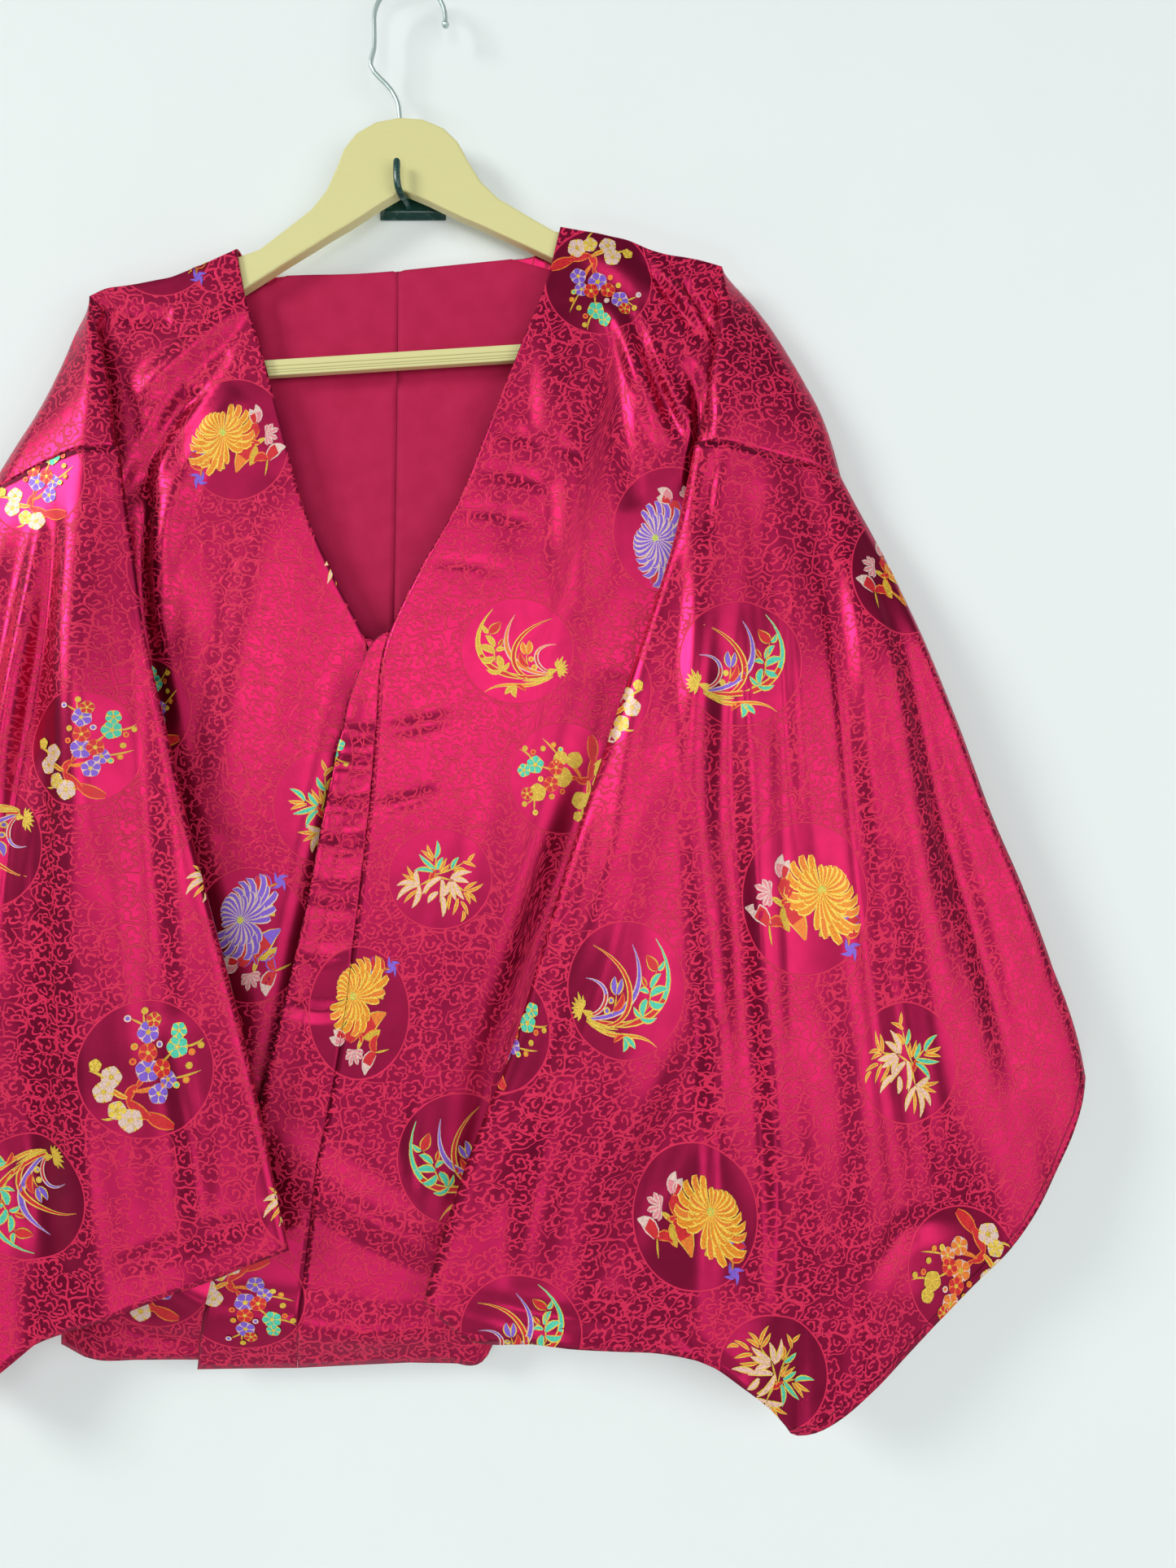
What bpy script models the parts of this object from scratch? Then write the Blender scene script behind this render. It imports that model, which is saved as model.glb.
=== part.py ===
"""Brocade haori hanging on a wooden hanger, and the wall hook that holds the hanger.

Units are metres, +Z up, +X to the viewer's right, and the viewer looks along +Y.
The origin is the middle of the wall hook's back face, so the wall is the plane y = 0
and the whole garment hangs in front of it, at negative y.
Left and right are the viewer's.
"""
import math

import bpy
import bmesh
from mathutils import Matrix, Vector

for old in list(bpy.data.objects):
    bpy.data.objects.remove(old, do_unlink=True)

MM = 0.001
CLOTH = 1.2 * MM
LINING = 1.0 * MM
SEAM_GAP = 0.3 * MM

# Depths from the wall of each layer, in metres
BACK_Y = -7.5 * MM
LINING_Y = BACK_Y - CLOTH / 2 - SEAM_GAP - LINING / 2
HANGER_Y = -19.0 * MM
WOOD_DEPTH = 11.0 * MM
RIDGE_RADIUS = 8.0 * MM
UNDER_FRONT_Y = -27.5 * MM
OVER_FRONT_Y = -31.0 * MM

# The hanger: half outline from its centre, top and bottom edge, before the tilt
HANGER_CENTRE = Vector((-3.0 * MM, HANGER_Y, -2.5 * MM))
HANGER_TILT = math.radians(3.6)
WOOD_PROFILE = (
    # out, top, bottom in millimetres
    (0, 50, 0),
    (16, 48, -8),
    (30, 41, -16),
    (39, 31, -21),
    (45, 18, -24),
    (53, 3, -28),
    (64, -9, -34),
    (83, -22, -44),
    (101, -34, -54),
    (130, -42, -70),
    (160, -51, -84),
    (172, -56, -90),
    (189, -60, -98),
    (190, -60, -122),
    (202, -63, -123),
    (208, -67, -121),
    (211, -74, -117),
)
WOOD_BEVEL = 1.6 * MM
BAR_TOP = -109 * MM
BAR_HEIGHT = 11 * MM
BAR_DEPTH = 7 * MM
BAR_HALF = 188.7 * MM
WIRE_RADIUS = 1.6 * MM
HOOK_RADIUS = 24.5 * MM
HOOK_CENTRE = (0.5 * MM, 118 * MM)
HOOK_BALL = 2.6 * MM

# The wall hook
PLATE_WIDTH = 47 * MM
PLATE_BOTTOM = -12 * MM
PLATE_TOP = 34 * MM
PLATE_DEPTH = 5.5 * MM
PRONG_RADIUS = 2.4 * MM

# Grid sizes of the cloth
PANEL_SHARES = (0.0, 0.11, 0.22, 0.32, 0.41, 0.45, 0.56, 0.67, 0.78, 0.89, 1.0)
SHOULDER_ROWS = 7
LOWER_ROWS = 13
SLEEVE_ROWS = 18
LINING_ROWS = 11
LINING_COLUMNS = 6

# Stations round a sleeve: shares from its inner seam to its fold, from the fold (0) to
# the top line (1) across the front, and from the top line back to the inner seam
UNDER_SHARES = (1.0, 0.72, 0.42, 0.14)
FRONT_SHARES = (0.0, 0.03, 0.10, 0.20, 0.31, 0.42, 0.50, 0.60, 0.70, 0.80, 0.90, 0.97, 1.0)
BACK_SHARES = (0.05, 0.22, 0.48, 0.74, 1.0)
TIP_SHARE = 0.50
UNDER_STEPS = len(UNDER_SHARES)
CAP_COLUMNS = len(UNDER_SHARES) + len(FRONT_SHARES) + len(BACK_SHARES) - 1
NECK_STEPS = 5
BACK_FOLD_SHARE = 0.75

# What differs between the two sides, in millimetres.  Each table runs downwards.
RIGHT = {
    "sign": 1,
    "front_y": OVER_FRONT_Y,
    "hem_side": -791,
    "underarm": -430,
    # front edge of the body half: down the V, then along the band seam
    "front_edge": ((104, -30), (93, -73), (77, -112), (55, -168), (28, -232), (4, -272), (-12, -303),
                   (-17, -337), (-25, -426), (-33, -494), (-45, -588), (-58, -657), (-70, -747), (-76, -808)),
    # back edge: neckline to the middle, then down the centre back seam
    "back_edge": ((104, -30), (96, -38), (82, -42), (50, -45), (20, -48), (-9, -51),
                  (-10, -160), (-12, -300), (-13, -500), (-13, -700), (-13, -803)),
    "ridge": ((104, -30), (127, -34), (150, -39), (171, -48), (197, -52), (214, -57)),
    "side": ((214, -57), (207, -70), (216, -88), (223, -107), (229, -145), (233, -190), (235, -300), (234, -430),
             (236, -600), (238, -700), (237, -791)),
    # where the hem turns up towards the side: x, reach and rise
    "hem_turn": (52.5, 12.0, 24.0),
    "cap_fold": ((214, -60), (209, -109), (203, -142), (195, -181)),
    "cap_outline": ((217, -60), (242, -89), (266, -127), (284, -162), (295, -199)),
    "cap_seam": ((195, -181), (221, -183), (244, -188), (264, -192), (295, -199)),
    "sleeve_fold": ((195, -181), (184, -231), (172, -274), (152, -335), (133, -390), (108, -466),
                    (88, -534), (71, -589), (49, -643), (28, -704), (15, -750)),
    "sleeve_outline": ((295, -199), (321, -253), (345, -312), (368, -372), (389, -428), (412, -481),
                       (432, -531), (446, -569), (453, -601)),
    "sleeve_bottom": ((15, -750), (50, -779), (72, -776), (116, -778), (173, -784), (196, -789),
                      (219, -800), (241, -815), (257, -834)),
    "cuff": ((257, -834), (275, -830), (318, -792), (365, -746), (408, -696), (429, -664),
             (447, -626), (453, -601)),
    # front band: its outer edge, and its seam to the body half
    "band_edge": ((-12, -303), (-25, -314), (-38, -347), (-46, -388), (-54, -426), (-67, -491), (-80, -548),
                  (-98, -619), (-115, -682), (-132, -745), (-144, -808)),
    # soft folds that fan out from the shoulder: column along the row, height range, depth
    "front_folds": ((0.62, -70, -420, 3.2), (0.80, -80, -520, 4.2), (0.45, -110, -380, 2.0), (0.70, -560, -800, 2.6)),
    "sleeve_folds": ((0.20, 0.12, 6.0), (0.42, 0.10, 7.0), (0.63, 0.09, 5.5), (0.82, 0.09, 6.5)),
}
LEFT = {
    "sign": -1,
    "front_y": UNDER_FRONT_Y,
    "hem_side": -800,
    "underarm": -450,
    "front_edge": ((-116, -45), (-110, -77), (-98, -117), (-82, -178), (-71, -218), (-54, -258), (-40, -285),
                   (-39, -310), (-36, -426), (-32, -494), (-26, -588), (-20, -657), (-13, -747), (-8, -806)),
    "back_edge": ((-116, -45), (-115, -52), (-106, -55), (-70, -54), (-36, -53), (-9, -51),
                  (-10, -160), (-12, -300), (-13, -500), (-13, -700), (-13, -803)),
    "ridge": ((-116, -45), (-138, -55), (-160, -64), (-185, -69), (-205, -72), (-216, -77)),
    "side": ((-216, -77), (-206, -90), (-217, -105), (-224, -122), (-229, -150), (-232, -190), (-236, -300), (-236, -430),
             (-237, -600), (-238, -700), (-239, -800)),
    "hem_turn": (-225.0, 14.0, 7.0),
    "cap_fold": ((-216, -80), (-204, -112), (-197, -140), (-190, -184)),
    "cap_outline": ((-219, -80), (-234, -118), (-250, -152), (-270, -184), (-290, -217)),
    "cap_seam": ((-190, -184), (-216, -187), (-238, -194), (-264, -205), (-290, -217)),
    "sleeve_fold": ((-190, -184), (-182, -239), (-175, -280), (-168, -318), (-156, -370), (-144, -422),
                    (-125, -494), (-104, -575), (-88, -653), (-80, -690), (-74, -715)),
    "sleeve_outline": ((-290, -217), (-317, -268), (-343, -325), (-368, -385), (-391, -441), (-415, -495),
                       (-439, -545), (-457, -585), (-467, -618)),
    "sleeve_bottom": ((-74, -715), (-105, -727), (-124, -735), (-167, -750), (-191, -759), (-227, -771),
                      (-250, -783), (-270, -800), (-292, -828)),
    "cuff": ((-292, -828), (-309, -824), (-347, -790), (-388, -745), (-425, -700), (-444, -670),
             (-460, -640), (-467, -618)),
    "band_edge": ((-40, -286), (-26, -304), (-21, -330), (-15, -388), (-10, -426), (0, -491), (8, -548),
                  (18, -619), (27, -682), (36, -745), (44, -806)),
    "front_folds": ((0.55, -90, -330, 3.0), (0.78, -100, -420, 4.0), (0.66, -480, -790, 2.5)),
    "sleeve_folds": ((0.24, 0.11, 6.5), (0.46, 0.10, 5.5), (0.68, 0.10, 7.0), (0.86, 0.08, 5.0)),
}

# What both sides share
INNER_OUTSIDE = 2.5
ARM_CLEAR = 1.6 * MM
ARM_SEAM_GAP = 0.6 * MM
SHUT_HALF = (CLOTH + SEAM_GAP) / 2 / MM + 0.55
LINING_IN = LINING_Y - BACK_Y
PRONG_PATH = (
    # out, depth, up in millimetres, from the plate to the tip
    (-2.4, -9.0, -5.0),
    (-2.5, -13.0, -5.5),
    (-3.0, -20.0, -6.0),
    (-4.0, -26.5, -7.0),
    (-5.5, -31.5, -4.0),
    (-6.2, -33.0, 3.0),
    (-6.2, -32.5, 12.5),
)

COLOURS = {
    "brocade": ((0.42, 0.012, 0.075, 1.0), 0.38, 0.0),
    "lining": ((0.36, 0.02, 0.07, 1.0), 0.75, 0.0),
    "wood": ((0.80, 0.76, 0.38, 1.0), 0.45, 0.0),
    "steel": ((0.62, 0.63, 0.62, 1.0), 0.25, 1.0),
    "green": ((0.01, 0.06, 0.05, 1.0), 0.25, 0.0),
}


def material(name, look):
    """One Principled material with a base colour, roughness and metallic value."""
    colour, roughness, metallic = COLOURS[look]
    made = bpy.data.materials.new(name)
    made.use_nodes = True
    shader = made.node_tree.nodes["Principled BSDF"]
    shader.inputs["Base Color"].default_value = colour
    shader.inputs["Roughness"].default_value = roughness
    shader.inputs["Metallic"].default_value = metallic
    return made


def add_object(name, mesh, look):
    """Link a mesh as one named object with its own material, shaded smooth."""
    obj = bpy.data.objects.new(name, mesh)
    bpy.context.scene.collection.objects.link(obj)
    mesh.materials.append(material(name + "_finish", look))
    mesh.shade_smooth()
    return obj


def along(table, share):
    """Point at a share of the length of a table of (x, z) rows, as a smooth curve."""
    points = [Vector((row[0], row[1])) for row in table]
    lengths = [0.0]
    for before, after in zip(points, points[1:]):
        lengths.append(lengths[-1] + (after - before).length)
    target = max(0.0, min(1.0, share)) * lengths[-1]
    index = 0
    while index < len(points) - 2 and lengths[index + 1] < target:
        index += 1
    return hermite(points, lengths, index, target)


def at_height(table, height):
    """The x of a table of (x, z) rows where its curve passes a height."""
    rows = [Vector((row[1], row[0])) for row in table]
    heights = [-row[0] for row in rows]
    target = max(heights[0], min(heights[-1], -height))
    index = 0
    while index < len(rows) - 2 and heights[index + 1] < target:
        index += 1
    return hermite(rows, heights, index, target)[1]


def hermite(points, knots, index, target):
    """Cubic through the points between knots index and index + 1, with capped slopes."""
    def slope(k):
        if k == 0:
            return (points[1] - points[0]) / (knots[1] - knots[0])
        if k == len(points) - 1:
            return (points[k] - points[k - 1]) / (knots[k] - knots[k - 1])
        before = (points[k] - points[k - 1]) / (knots[k] - knots[k - 1])
        after = (points[k + 1] - points[k]) / (knots[k + 1] - knots[k])
        return (before + after) / 2

    span = knots[index + 1] - knots[index]
    t = (target - knots[index]) / span
    square = t * t
    cube = square * t
    return (
        points[index] * (2 * cube - 3 * square + 1)
        + slope(index) * span * (cube - 2 * square + t)
        + points[index + 1] * (3 * square - 2 * cube)
        + slope(index + 1) * span * (cube - square)
    )


def smooth(value):
    """Ease from 0 to 1."""
    value = max(0.0, min(1.0, value))
    return value * value * (3 - 2 * value)


def bump(value, centre, width):
    """Round bump of height 1 at the centre, gone at the width."""
    reach = abs(value - centre) / width
    return 0.0 if reach >= 1 else 0.5 + 0.5 * math.cos(math.pi * reach)


def cloth_object(name, grids, look, thickness):
    """Join grids of points into one sheet, and give it the thickness of the cloth."""
    work = bmesh.new()
    for grid in grids:
        rows = [[work.verts.new(point) for point in row] for row in grid]
        for upper, lower in zip(rows, rows[1:]):
            for k in range(len(upper) - 1):
                corners = (upper[k], upper[k + 1], lower[k + 1], lower[k])
                work.faces.new(corners)
    bmesh.ops.remove_doubles(work, verts=work.verts, dist=1e-6)
    bmesh.ops.dissolve_degenerate(work, edges=work.edges, dist=1e-7)
    bmesh.ops.recalc_face_normals(work, faces=work.faces)
    mesh = bpy.data.meshes.new(name)
    work.to_mesh(mesh)
    work.free()
    obj = add_object(name, mesh, look)
    wall = obj.modifiers.new("wall", "SOLIDIFY")
    wall.thickness = thickness
    wall.offset = 0
    wall.use_even_offset = False
    return obj


def front_point(side, across, z_inner, z_side, below_ridge):
    """Point of a body half's front, at a share of the way across and at its row's heights."""
    z = z_inner + (z_side - z_inner) * across
    z += ridge_lift(side, across) * math.exp(-below_ridge / 40.0)
    x = at_height(side["front_edge"], z_inner) * (1 - across) + at_height(side["side"], z_side) * across
    settle = smooth(below_ridge / 60.0)
    top_y = HANGER_Y - RIDGE_RADIUS
    y = top_y + (side["front_y"] - top_y) * settle
    for centre, high, low, depth in side["front_folds"]:
        if z < high and z > low:
            middle = (z - high) / (low - high)
            y -= depth * MM * math.sin(math.pi * middle) * bump(across, centre + 0.10 * (middle - 0.5), 0.11)
    y += side_curl(side, across, z_side)
    return Vector((x * MM, y, z * MM))


def back_point(side, across, inner, z_side, below_ridge):
    """Point of a body half's back, between its inner edge and its side."""
    z = inner[1] + (z_side - inner[1]) * across
    z += ridge_lift(side, across) * math.exp(-below_ridge / 40.0)
    x = inner[0] * (1 - across) + at_height(side["side"], z_side) * across
    settle = smooth(below_ridge / 60.0)
    top_y = HANGER_Y + RIDGE_RADIUS
    y = top_y + (BACK_Y - top_y) * settle
    y -= side_curl(side, across, z_side) * 0.9
    return Vector((x * MM, y, z * MM))


def ridge_lift(side, across):
    """How far the shoulder's top line stands above the straight line between its ends."""
    ridge = side["ridge"]
    first, last = ridge[0], ridge[-1]
    x = first[0] + (last[0] - first[0]) * across
    rows = sorted(ridge, key=lambda row: abs(row[0]))
    for before, after in zip(rows, rows[1:]):
        if abs(before[0]) <= abs(x) <= abs(after[0]) + 0.001:
            share = (abs(x) - abs(before[0])) / (abs(after[0]) - abs(before[0]))
            height = before[1] + (after[1] - before[1]) * share
            return height - (first[1] + (last[1] - first[1]) * across)
    return 0.0


def side_curl(side, across, z_side):
    """Turn of the front towards the back at the side seam, below the underarm."""
    closing = smooth((side["underarm"] + 40 - z_side) / 80.0)
    reach = smooth((across - 0.86) / 0.14)
    gap_half = (CLOTH + SEAM_GAP) / 2
    middle = (side["front_y"] + BACK_Y) / 2
    return closing * reach * (middle - gap_half - side["front_y"])


def shoulder_heights(side):
    """Height of the side at each shoulder row, from the hanger's end to the arm seam."""
    top = side["side"][0][1]
    bottom = (side["cap_seam"][0][1] * 0.6 + side["cap_seam"][-1][1] * 0.4)
    return [top + (bottom - top) * (k / SHOULDER_ROWS) ** 1.15 for k in range(SHOULDER_ROWS + 1)]


def body_half(name, side):
    """Front and back of one side in one piece over the shoulder, with its dropped cap."""
    heights = shoulder_heights(side)
    low = side["hem_side"]
    count = SHOULDER_ROWS + LOWER_ROWS
    side_heights = [body_side_height(heights, low, k) for k in range(count + 1)]
    front_top = side["front_edge"][0][1]
    front_low = side["front_edge"][-1][1]
    front_rows = []
    for k, z_side in enumerate(side_heights):
        progress = (z_side - side_heights[0]) / (low - side_heights[0])
        z_inner = front_top + (front_low - front_top) * progress
        below = side_heights[0] - z_side
        row = [front_point(side, u, z_inner, z_side, below) for u in PANEL_SHARES]
        front_rows.append(turn_hem(side, row, progress))

    back_rows = []
    for k, z_side in enumerate(side_heights):
        progress = (z_side - side_heights[0]) / (low - side_heights[0])
        inner = back_inner(side, k)
        below = side_heights[0] - z_side
        row = [back_point(side, u, inner, z_side, below) for u in PANEL_SHARES]
        back_rows.append(turn_hem(side, row, progress))

    ridge_rows = []
    for step in range(1, CAP_COLUMNS):
        angle = math.pi * max(0, step - UNDER_STEPS) / (CAP_COLUMNS - UNDER_STEPS)
        row = []
        for front in front_rows[0]:
            y = HANGER_Y - RIDGE_RADIUS * math.cos(angle)
            row.append(Vector((front.x, y, front.z + 0.30 * RIDGE_RADIUS * math.sin(angle))))
        ridge_rows.append(row)
    panel = list(reversed(front_rows)) + ridge_rows + back_rows

    ridge_end = [front_rows[0][-1]] + [row[-1] for row in ridge_rows] + [back_rows[0][-1]]
    cap = [ridge_end]
    for k in range(1, SHOULDER_ROWS + 1):
        cap.append(cap_chain(side, k / SHOULDER_ROWS, front_rows[k][-1], back_rows[k][-1]))
    cloth_object(name, (panel, cap), "brocade", CLOTH)
    return cap[-1], [row[0] for row in front_rows]


def turn_hem(side, row, progress):
    """Raise the end of a low row where the hem turns up towards the side."""
    x_from, reach, rise = side["hem_turn"]
    for point in row:
        turned = smooth((point.x / MM - x_from) * side["sign"] / reach)
        point.z += rise * MM * turned * smooth((progress - 0.88) / 0.12)
    return row


def back_inner(side, row):
    """Inner end of a back row: along the neckline in the first rows, then the centre back."""
    table = side["back_edge"]
    if row <= SHOULDER_ROWS:
        return along(table[:NECK_STEPS + 1], (row / SHOULDER_ROWS) ** 0.9)
    place = along(table[NECK_STEPS:], (row - SHOULDER_ROWS) / LOWER_ROWS)
    return place + Vector((side["sign"] * SEAM_GAP / MM / 2, 0))


def cap_chain(side, share, start, end):
    """Section of the dropped shoulder: under the fold, round it, out to the top line and back."""
    sign = side["sign"]
    open_up = math.sin(share * math.pi / 2) ** 0.6
    tucked = smooth((share - 0.14) / 0.4)
    fold = along(side["cap_fold"], share)
    outline = along(side["cap_outline"], share)
    seam_ends = (Vector(side["cap_seam"][0]), Vector(side["cap_seam"][-1]))
    fold_y = -27 - 17 * open_up
    outer_y = -19 - 6 * open_up
    back_y = -11 - 1 * open_up
    tuck_x = start.x / MM
    tuck_z = start.z / MM
    first = start.y / MM
    under = [
        (tuck_x, first, tuck_z),
        (tuck_x + sign * 3.0 * tucked, first - 4.0 * open_up, tuck_z),
        (tuck_x - sign * 3.5 * tucked, first - 8.0 * open_up, tuck_z),
        ((tuck_x * 0.45 + fold.x * 0.55), fold_y + 3.5 * open_up, (tuck_z * 0.45 + fold.y * 0.55)),
    ]
    front = []
    for across in FRONT_SHARES:
        place = fold * (1 - across) + outline * across
        seam_bow = along(side["cap_seam"], across) - seam_ends[0] * (1 - across) - seam_ends[1] * across
        place += seam_bow * share * share
        lens = math.sqrt(min(1.0, min(across, 1 - across) / 0.2))
        depth = fold_y + (outer_y - fold_y) * across - (10 - 2 * across) * open_up * lens
        front.append((place.x, depth, place.y))
    behind = []
    last = Vector((end.x / MM, end.z / MM))
    for across in BACK_SHARES:
        place = outline + (last - outline) * across
        round_off = math.sqrt(min(1.0, across / 0.22))
        depth = outer_y + (back_y - outer_y) * round_off
        depth += (end.y / MM - back_y) * smooth((across - 0.5) / 0.5)
        behind.append((place.x, depth, place.y))
    return [Vector(station) * MM for station in under + front + behind]


def sleeve_place(side, down, across):
    """Place in the front view of a point of a sleeve: a patch between its four edges."""
    fold = along(side["sleeve_fold"], down)
    outline = along(side["sleeve_outline"], down)
    top = along(side["cap_seam"], across)
    if across <= TIP_SHARE:
        bottom = along(side["sleeve_bottom"], across / TIP_SHARE)
    else:
        bottom = along(side["cuff"], (across - TIP_SHARE) / (1 - TIP_SHARE))
    corners = (
        Vector(side["cap_seam"][0]) * (1 - down) * (1 - across)
        + Vector(side["cap_seam"][-1]) * (1 - down) * across
        + Vector(side["sleeve_bottom"][0]) * down * (1 - across)
        + Vector(side["cuff"][-1]) * down * across
    )
    return fold * (1 - across) + outline * across + top * (1 - down) + bottom * down - corners


def sleeve_half_gap(down, across):
    """Half the space between the front and back of a sleeve, in millimetres."""
    edge = min(across, 1 - across)
    gap = 10.5 * math.sqrt(min(1.0, edge / 0.16))
    if across > TIP_SHARE:
        return gap
    closing = smooth((down - 0.70) / 0.30)
    shut = SHUT_HALF if across > 0 else 0.0
    toward_tip = smooth((across - TIP_SHARE + 0.12) / 0.12)
    return gap * (1 - closing) + (shut * (1 - toward_tip) + 0.55 * gap * toward_tip) * closing


def sleeve_middle(side, down, across, kept):
    """Depth of the middle of a sleeve in millimetres, with a share kept of its soft folds."""
    y = -47 - 5 * smooth(down * 1.6) + 6 * across
    for centre, width, depth in side["sleeve_folds"]:
        wander = 0.03 * math.sin(5.0 * down + 9.0 * centre)
        y -= depth * bump(across, centre + wander, width) * smooth(down / 0.25) * (0.55 + 0.45 * down) * kept
    return y


def sleeve_station(side, down, across, layer):
    """Point of a sleeve: layer is -1 on the front, 1 on the back and 0 at a fold."""
    place = sleeve_place(side, down, across)
    kept = BACK_FOLD_SHARE if layer > 0 else 1.0
    depth = sleeve_middle(side, down, across, kept) + layer * sleeve_half_gap(down, across)
    return Vector((place.x, depth, place.y)) * MM


def inner_share(side, down):
    """Share across at which the sleeve's inner seam lies, just outside the body's side."""
    low, high = 0.05, 0.95
    sign = side["sign"]
    for _ in range(24):
        middle = (low + high) / 2
        place = sleeve_place(side, down, middle)
        wanted = at_height(side["side"], max(place.y, side["hem_side"])) + sign * INNER_OUTSIDE
        if (place.x - wanted) * sign < 0:
            low = middle
        else:
            high = middle
    return (low + high) / 2


def sleeve_chain(side, down, arm_seam):
    """Section of a sleeve: inner seam, fold, front, top line, back, inner seam again."""
    sign = side["sign"]
    seam_share = inner_share(side, down)
    chain = [sleeve_station(side, down, seam_share * share, 1) for share in UNDER_SHARES]
    chain += [sleeve_station(side, down, across, -1) for across in FRONT_SHARES]
    for share in BACK_SHARES:
        chain.append(sleeve_station(side, down, 1 - (1 - seam_share) * share, 1))
    chain[0].x -= sign * SEAM_GAP / 2
    chain[-1].x += sign * SEAM_GAP / 2

    fold_move = along(side["sleeve_fold"], down) - along(side["sleeve_fold"], 0)
    top_move = along(side["sleeve_outline"], down) - along(side["sleeve_outline"], 0)
    settle = smooth(down / 0.30)
    fronts = range(len(UNDER_SHARES), len(UNDER_SHARES) + len(FRONT_SHARES))
    for k, point in enumerate(chain):
        if k in fronts:
            point.y = arm_seam[k].y * (1 - settle) + point.y * settle
            continue
        height_move = fold_move.y if k < fronts[0] else top_move.y
        kept = arm_seam[k] + Vector((0, 0, height_move * MM))
        inner = 1.0 if k in (0, len(chain) - 1) else 0.0
        place = smooth(down / (0.30 + 0.10 * inner))
        chain[k] = Vector((
            kept.x * (1 - place) + point.x * place,
            kept.y * (1 - place) + point.y * place,
            kept.z * (1 - place) + point.z * place,
        ))
    return chain


def sleeve(name, side, arm_seam):
    """Sleeve as one sheet round its fold and its top line, from the arm seam to the cuff."""
    sign = side["sign"]
    arm_seam = [point + Vector((0, 0, -ARM_SEAM_GAP)) for point in arm_seam]
    arm_seam[0] += Vector((sign * ARM_CLEAR, -ARM_CLEAR, 0))
    arm_seam[-1] += Vector((sign * ARM_CLEAR, 0, 0))
    rows = [arm_seam]
    for row in range(1, SLEEVE_ROWS + 1):
        rows.append(sleeve_chain(side, row / SLEEVE_ROWS, arm_seam))
    cloth_object(name, (rows,), "brocade", CLOTH)


def front_band(name, side, front_edge):
    """Strip down the front edge, from the point of the V to the hem, beside its seam."""
    sign = side["sign"]
    top = side["band_edge"][0][1] * MM
    inner = [point for point in front_edge if point.z < top - 4 * MM]
    above = front_edge[len(front_edge) - len(inner) - 1]
    share = (above.z - top) / (above.z - inner[0].z)
    inner.insert(0, above + (inner[0] - above) * share)
    rows = []
    for row, point in enumerate(inner):
        seam_side = point + Vector((-sign * SEAM_GAP, 0, 0))
        outer = Vector((at_height(side["band_edge"], point.z / MM) * MM, side["front_y"], point.z))
        if row == 0:
            outer = seam_side + Vector((-sign * 1.5 * MM, 0, 0))
        rows.append([seam_side + (outer - seam_side) * t for t in (0, 0.34, 0.67, 1)])
    cloth_object(name, (rows,), "brocade", CLOTH)


def back_lining(name, side):
    """Plain cloth inside the back, made from the back's own points and moved in."""
    low = side["hem_side"]
    heights = shoulder_heights(side)
    rows = []
    for row in range(1, LINING_ROWS + 1):
        z_side = body_side_height(heights, low, row + 1)
        inner = back_inner(side, row + 1)
        line = []
        for k in range(LINING_COLUMNS + 1):
            across = 0.66 * k / LINING_COLUMNS
            point = back_point(side, across, inner, z_side, heights[0] - z_side)
            line.append(point + Vector((0, LINING_IN, 0)))
        rows.append(line)
    cloth_object(name, (rows,), "lining", LINING)


def body_side_height(heights, low, row):
    """Height of a body half's side at one of its rows."""
    if row < len(heights):
        return heights[row]
    return heights[-1] + (low - heights[-1]) * (row - SHOULDER_ROWS) / LOWER_ROWS


def tilted(out, up, depth):
    """Point of the hanger, from its own frame to the tilted one."""
    turned = Matrix.Rotation(-HANGER_TILT, 3, "Y") @ Vector((out, 0, up))
    return HANGER_CENTRE + turned + Vector((0, depth, 0))


def wood_hanger():
    """Flat wooden hanger: its outline extruded to its depth, with rounded edges."""
    right_top = [(out * MM, top * MM) for out, top, _ in WOOD_PROFILE]
    right_bottom = [(out * MM, low * MM) for out, _, low in reversed(WOOD_PROFILE)]
    left_bottom = [(-out, up) for out, up in reversed(right_bottom)][1:]
    left_top = [(-out, up) for out, up in reversed(right_top)][:-1]
    outline = right_top + right_bottom + left_bottom + left_top
    work = bmesh.new()
    face = work.faces.new([work.verts.new(tilted(x, z, -WOOD_DEPTH / 2)) for x, z in outline])
    made = bmesh.ops.extrude_face_region(work, geom=[face])
    moved = [item for item in made["geom"] if isinstance(item, bmesh.types.BMVert)]
    bmesh.ops.translate(work, verts=moved, vec=(0, WOOD_DEPTH, 0))
    bmesh.ops.recalc_face_normals(work, faces=work.faces)
    mesh = bpy.data.meshes.new("hanger_wood")
    work.to_mesh(mesh)
    work.free()
    obj = add_object("hanger_wood", mesh, "wood")
    edge = obj.modifiers.new("rounded edges", "BEVEL")
    edge.width = WOOD_BEVEL
    edge.segments = 2
    edge.limit_method = "ANGLE"
    edge.angle_limit = math.radians(50)


def hanger_bar():
    """Flat bar across the hanger, under its arms, between its two ends."""
    work = bmesh.new()
    bmesh.ops.create_cube(work, size=1)
    bmesh.ops.scale(work, verts=work.verts, vec=(2 * BAR_HALF, BAR_DEPTH, BAR_HEIGHT))
    middle = BAR_TOP - BAR_HEIGHT / 2
    for vert in work.verts:
        vert.co = tilted(vert.co.x, vert.co.z + middle, vert.co.y)
    mesh = bpy.data.meshes.new("hanger_bar")
    work.to_mesh(mesh)
    work.free()
    obj = add_object("hanger_bar", mesh, "wood")
    edge = obj.modifiers.new("rounded edges", "BEVEL")
    edge.width = 0.9 * MM
    edge.segments = 2


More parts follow.
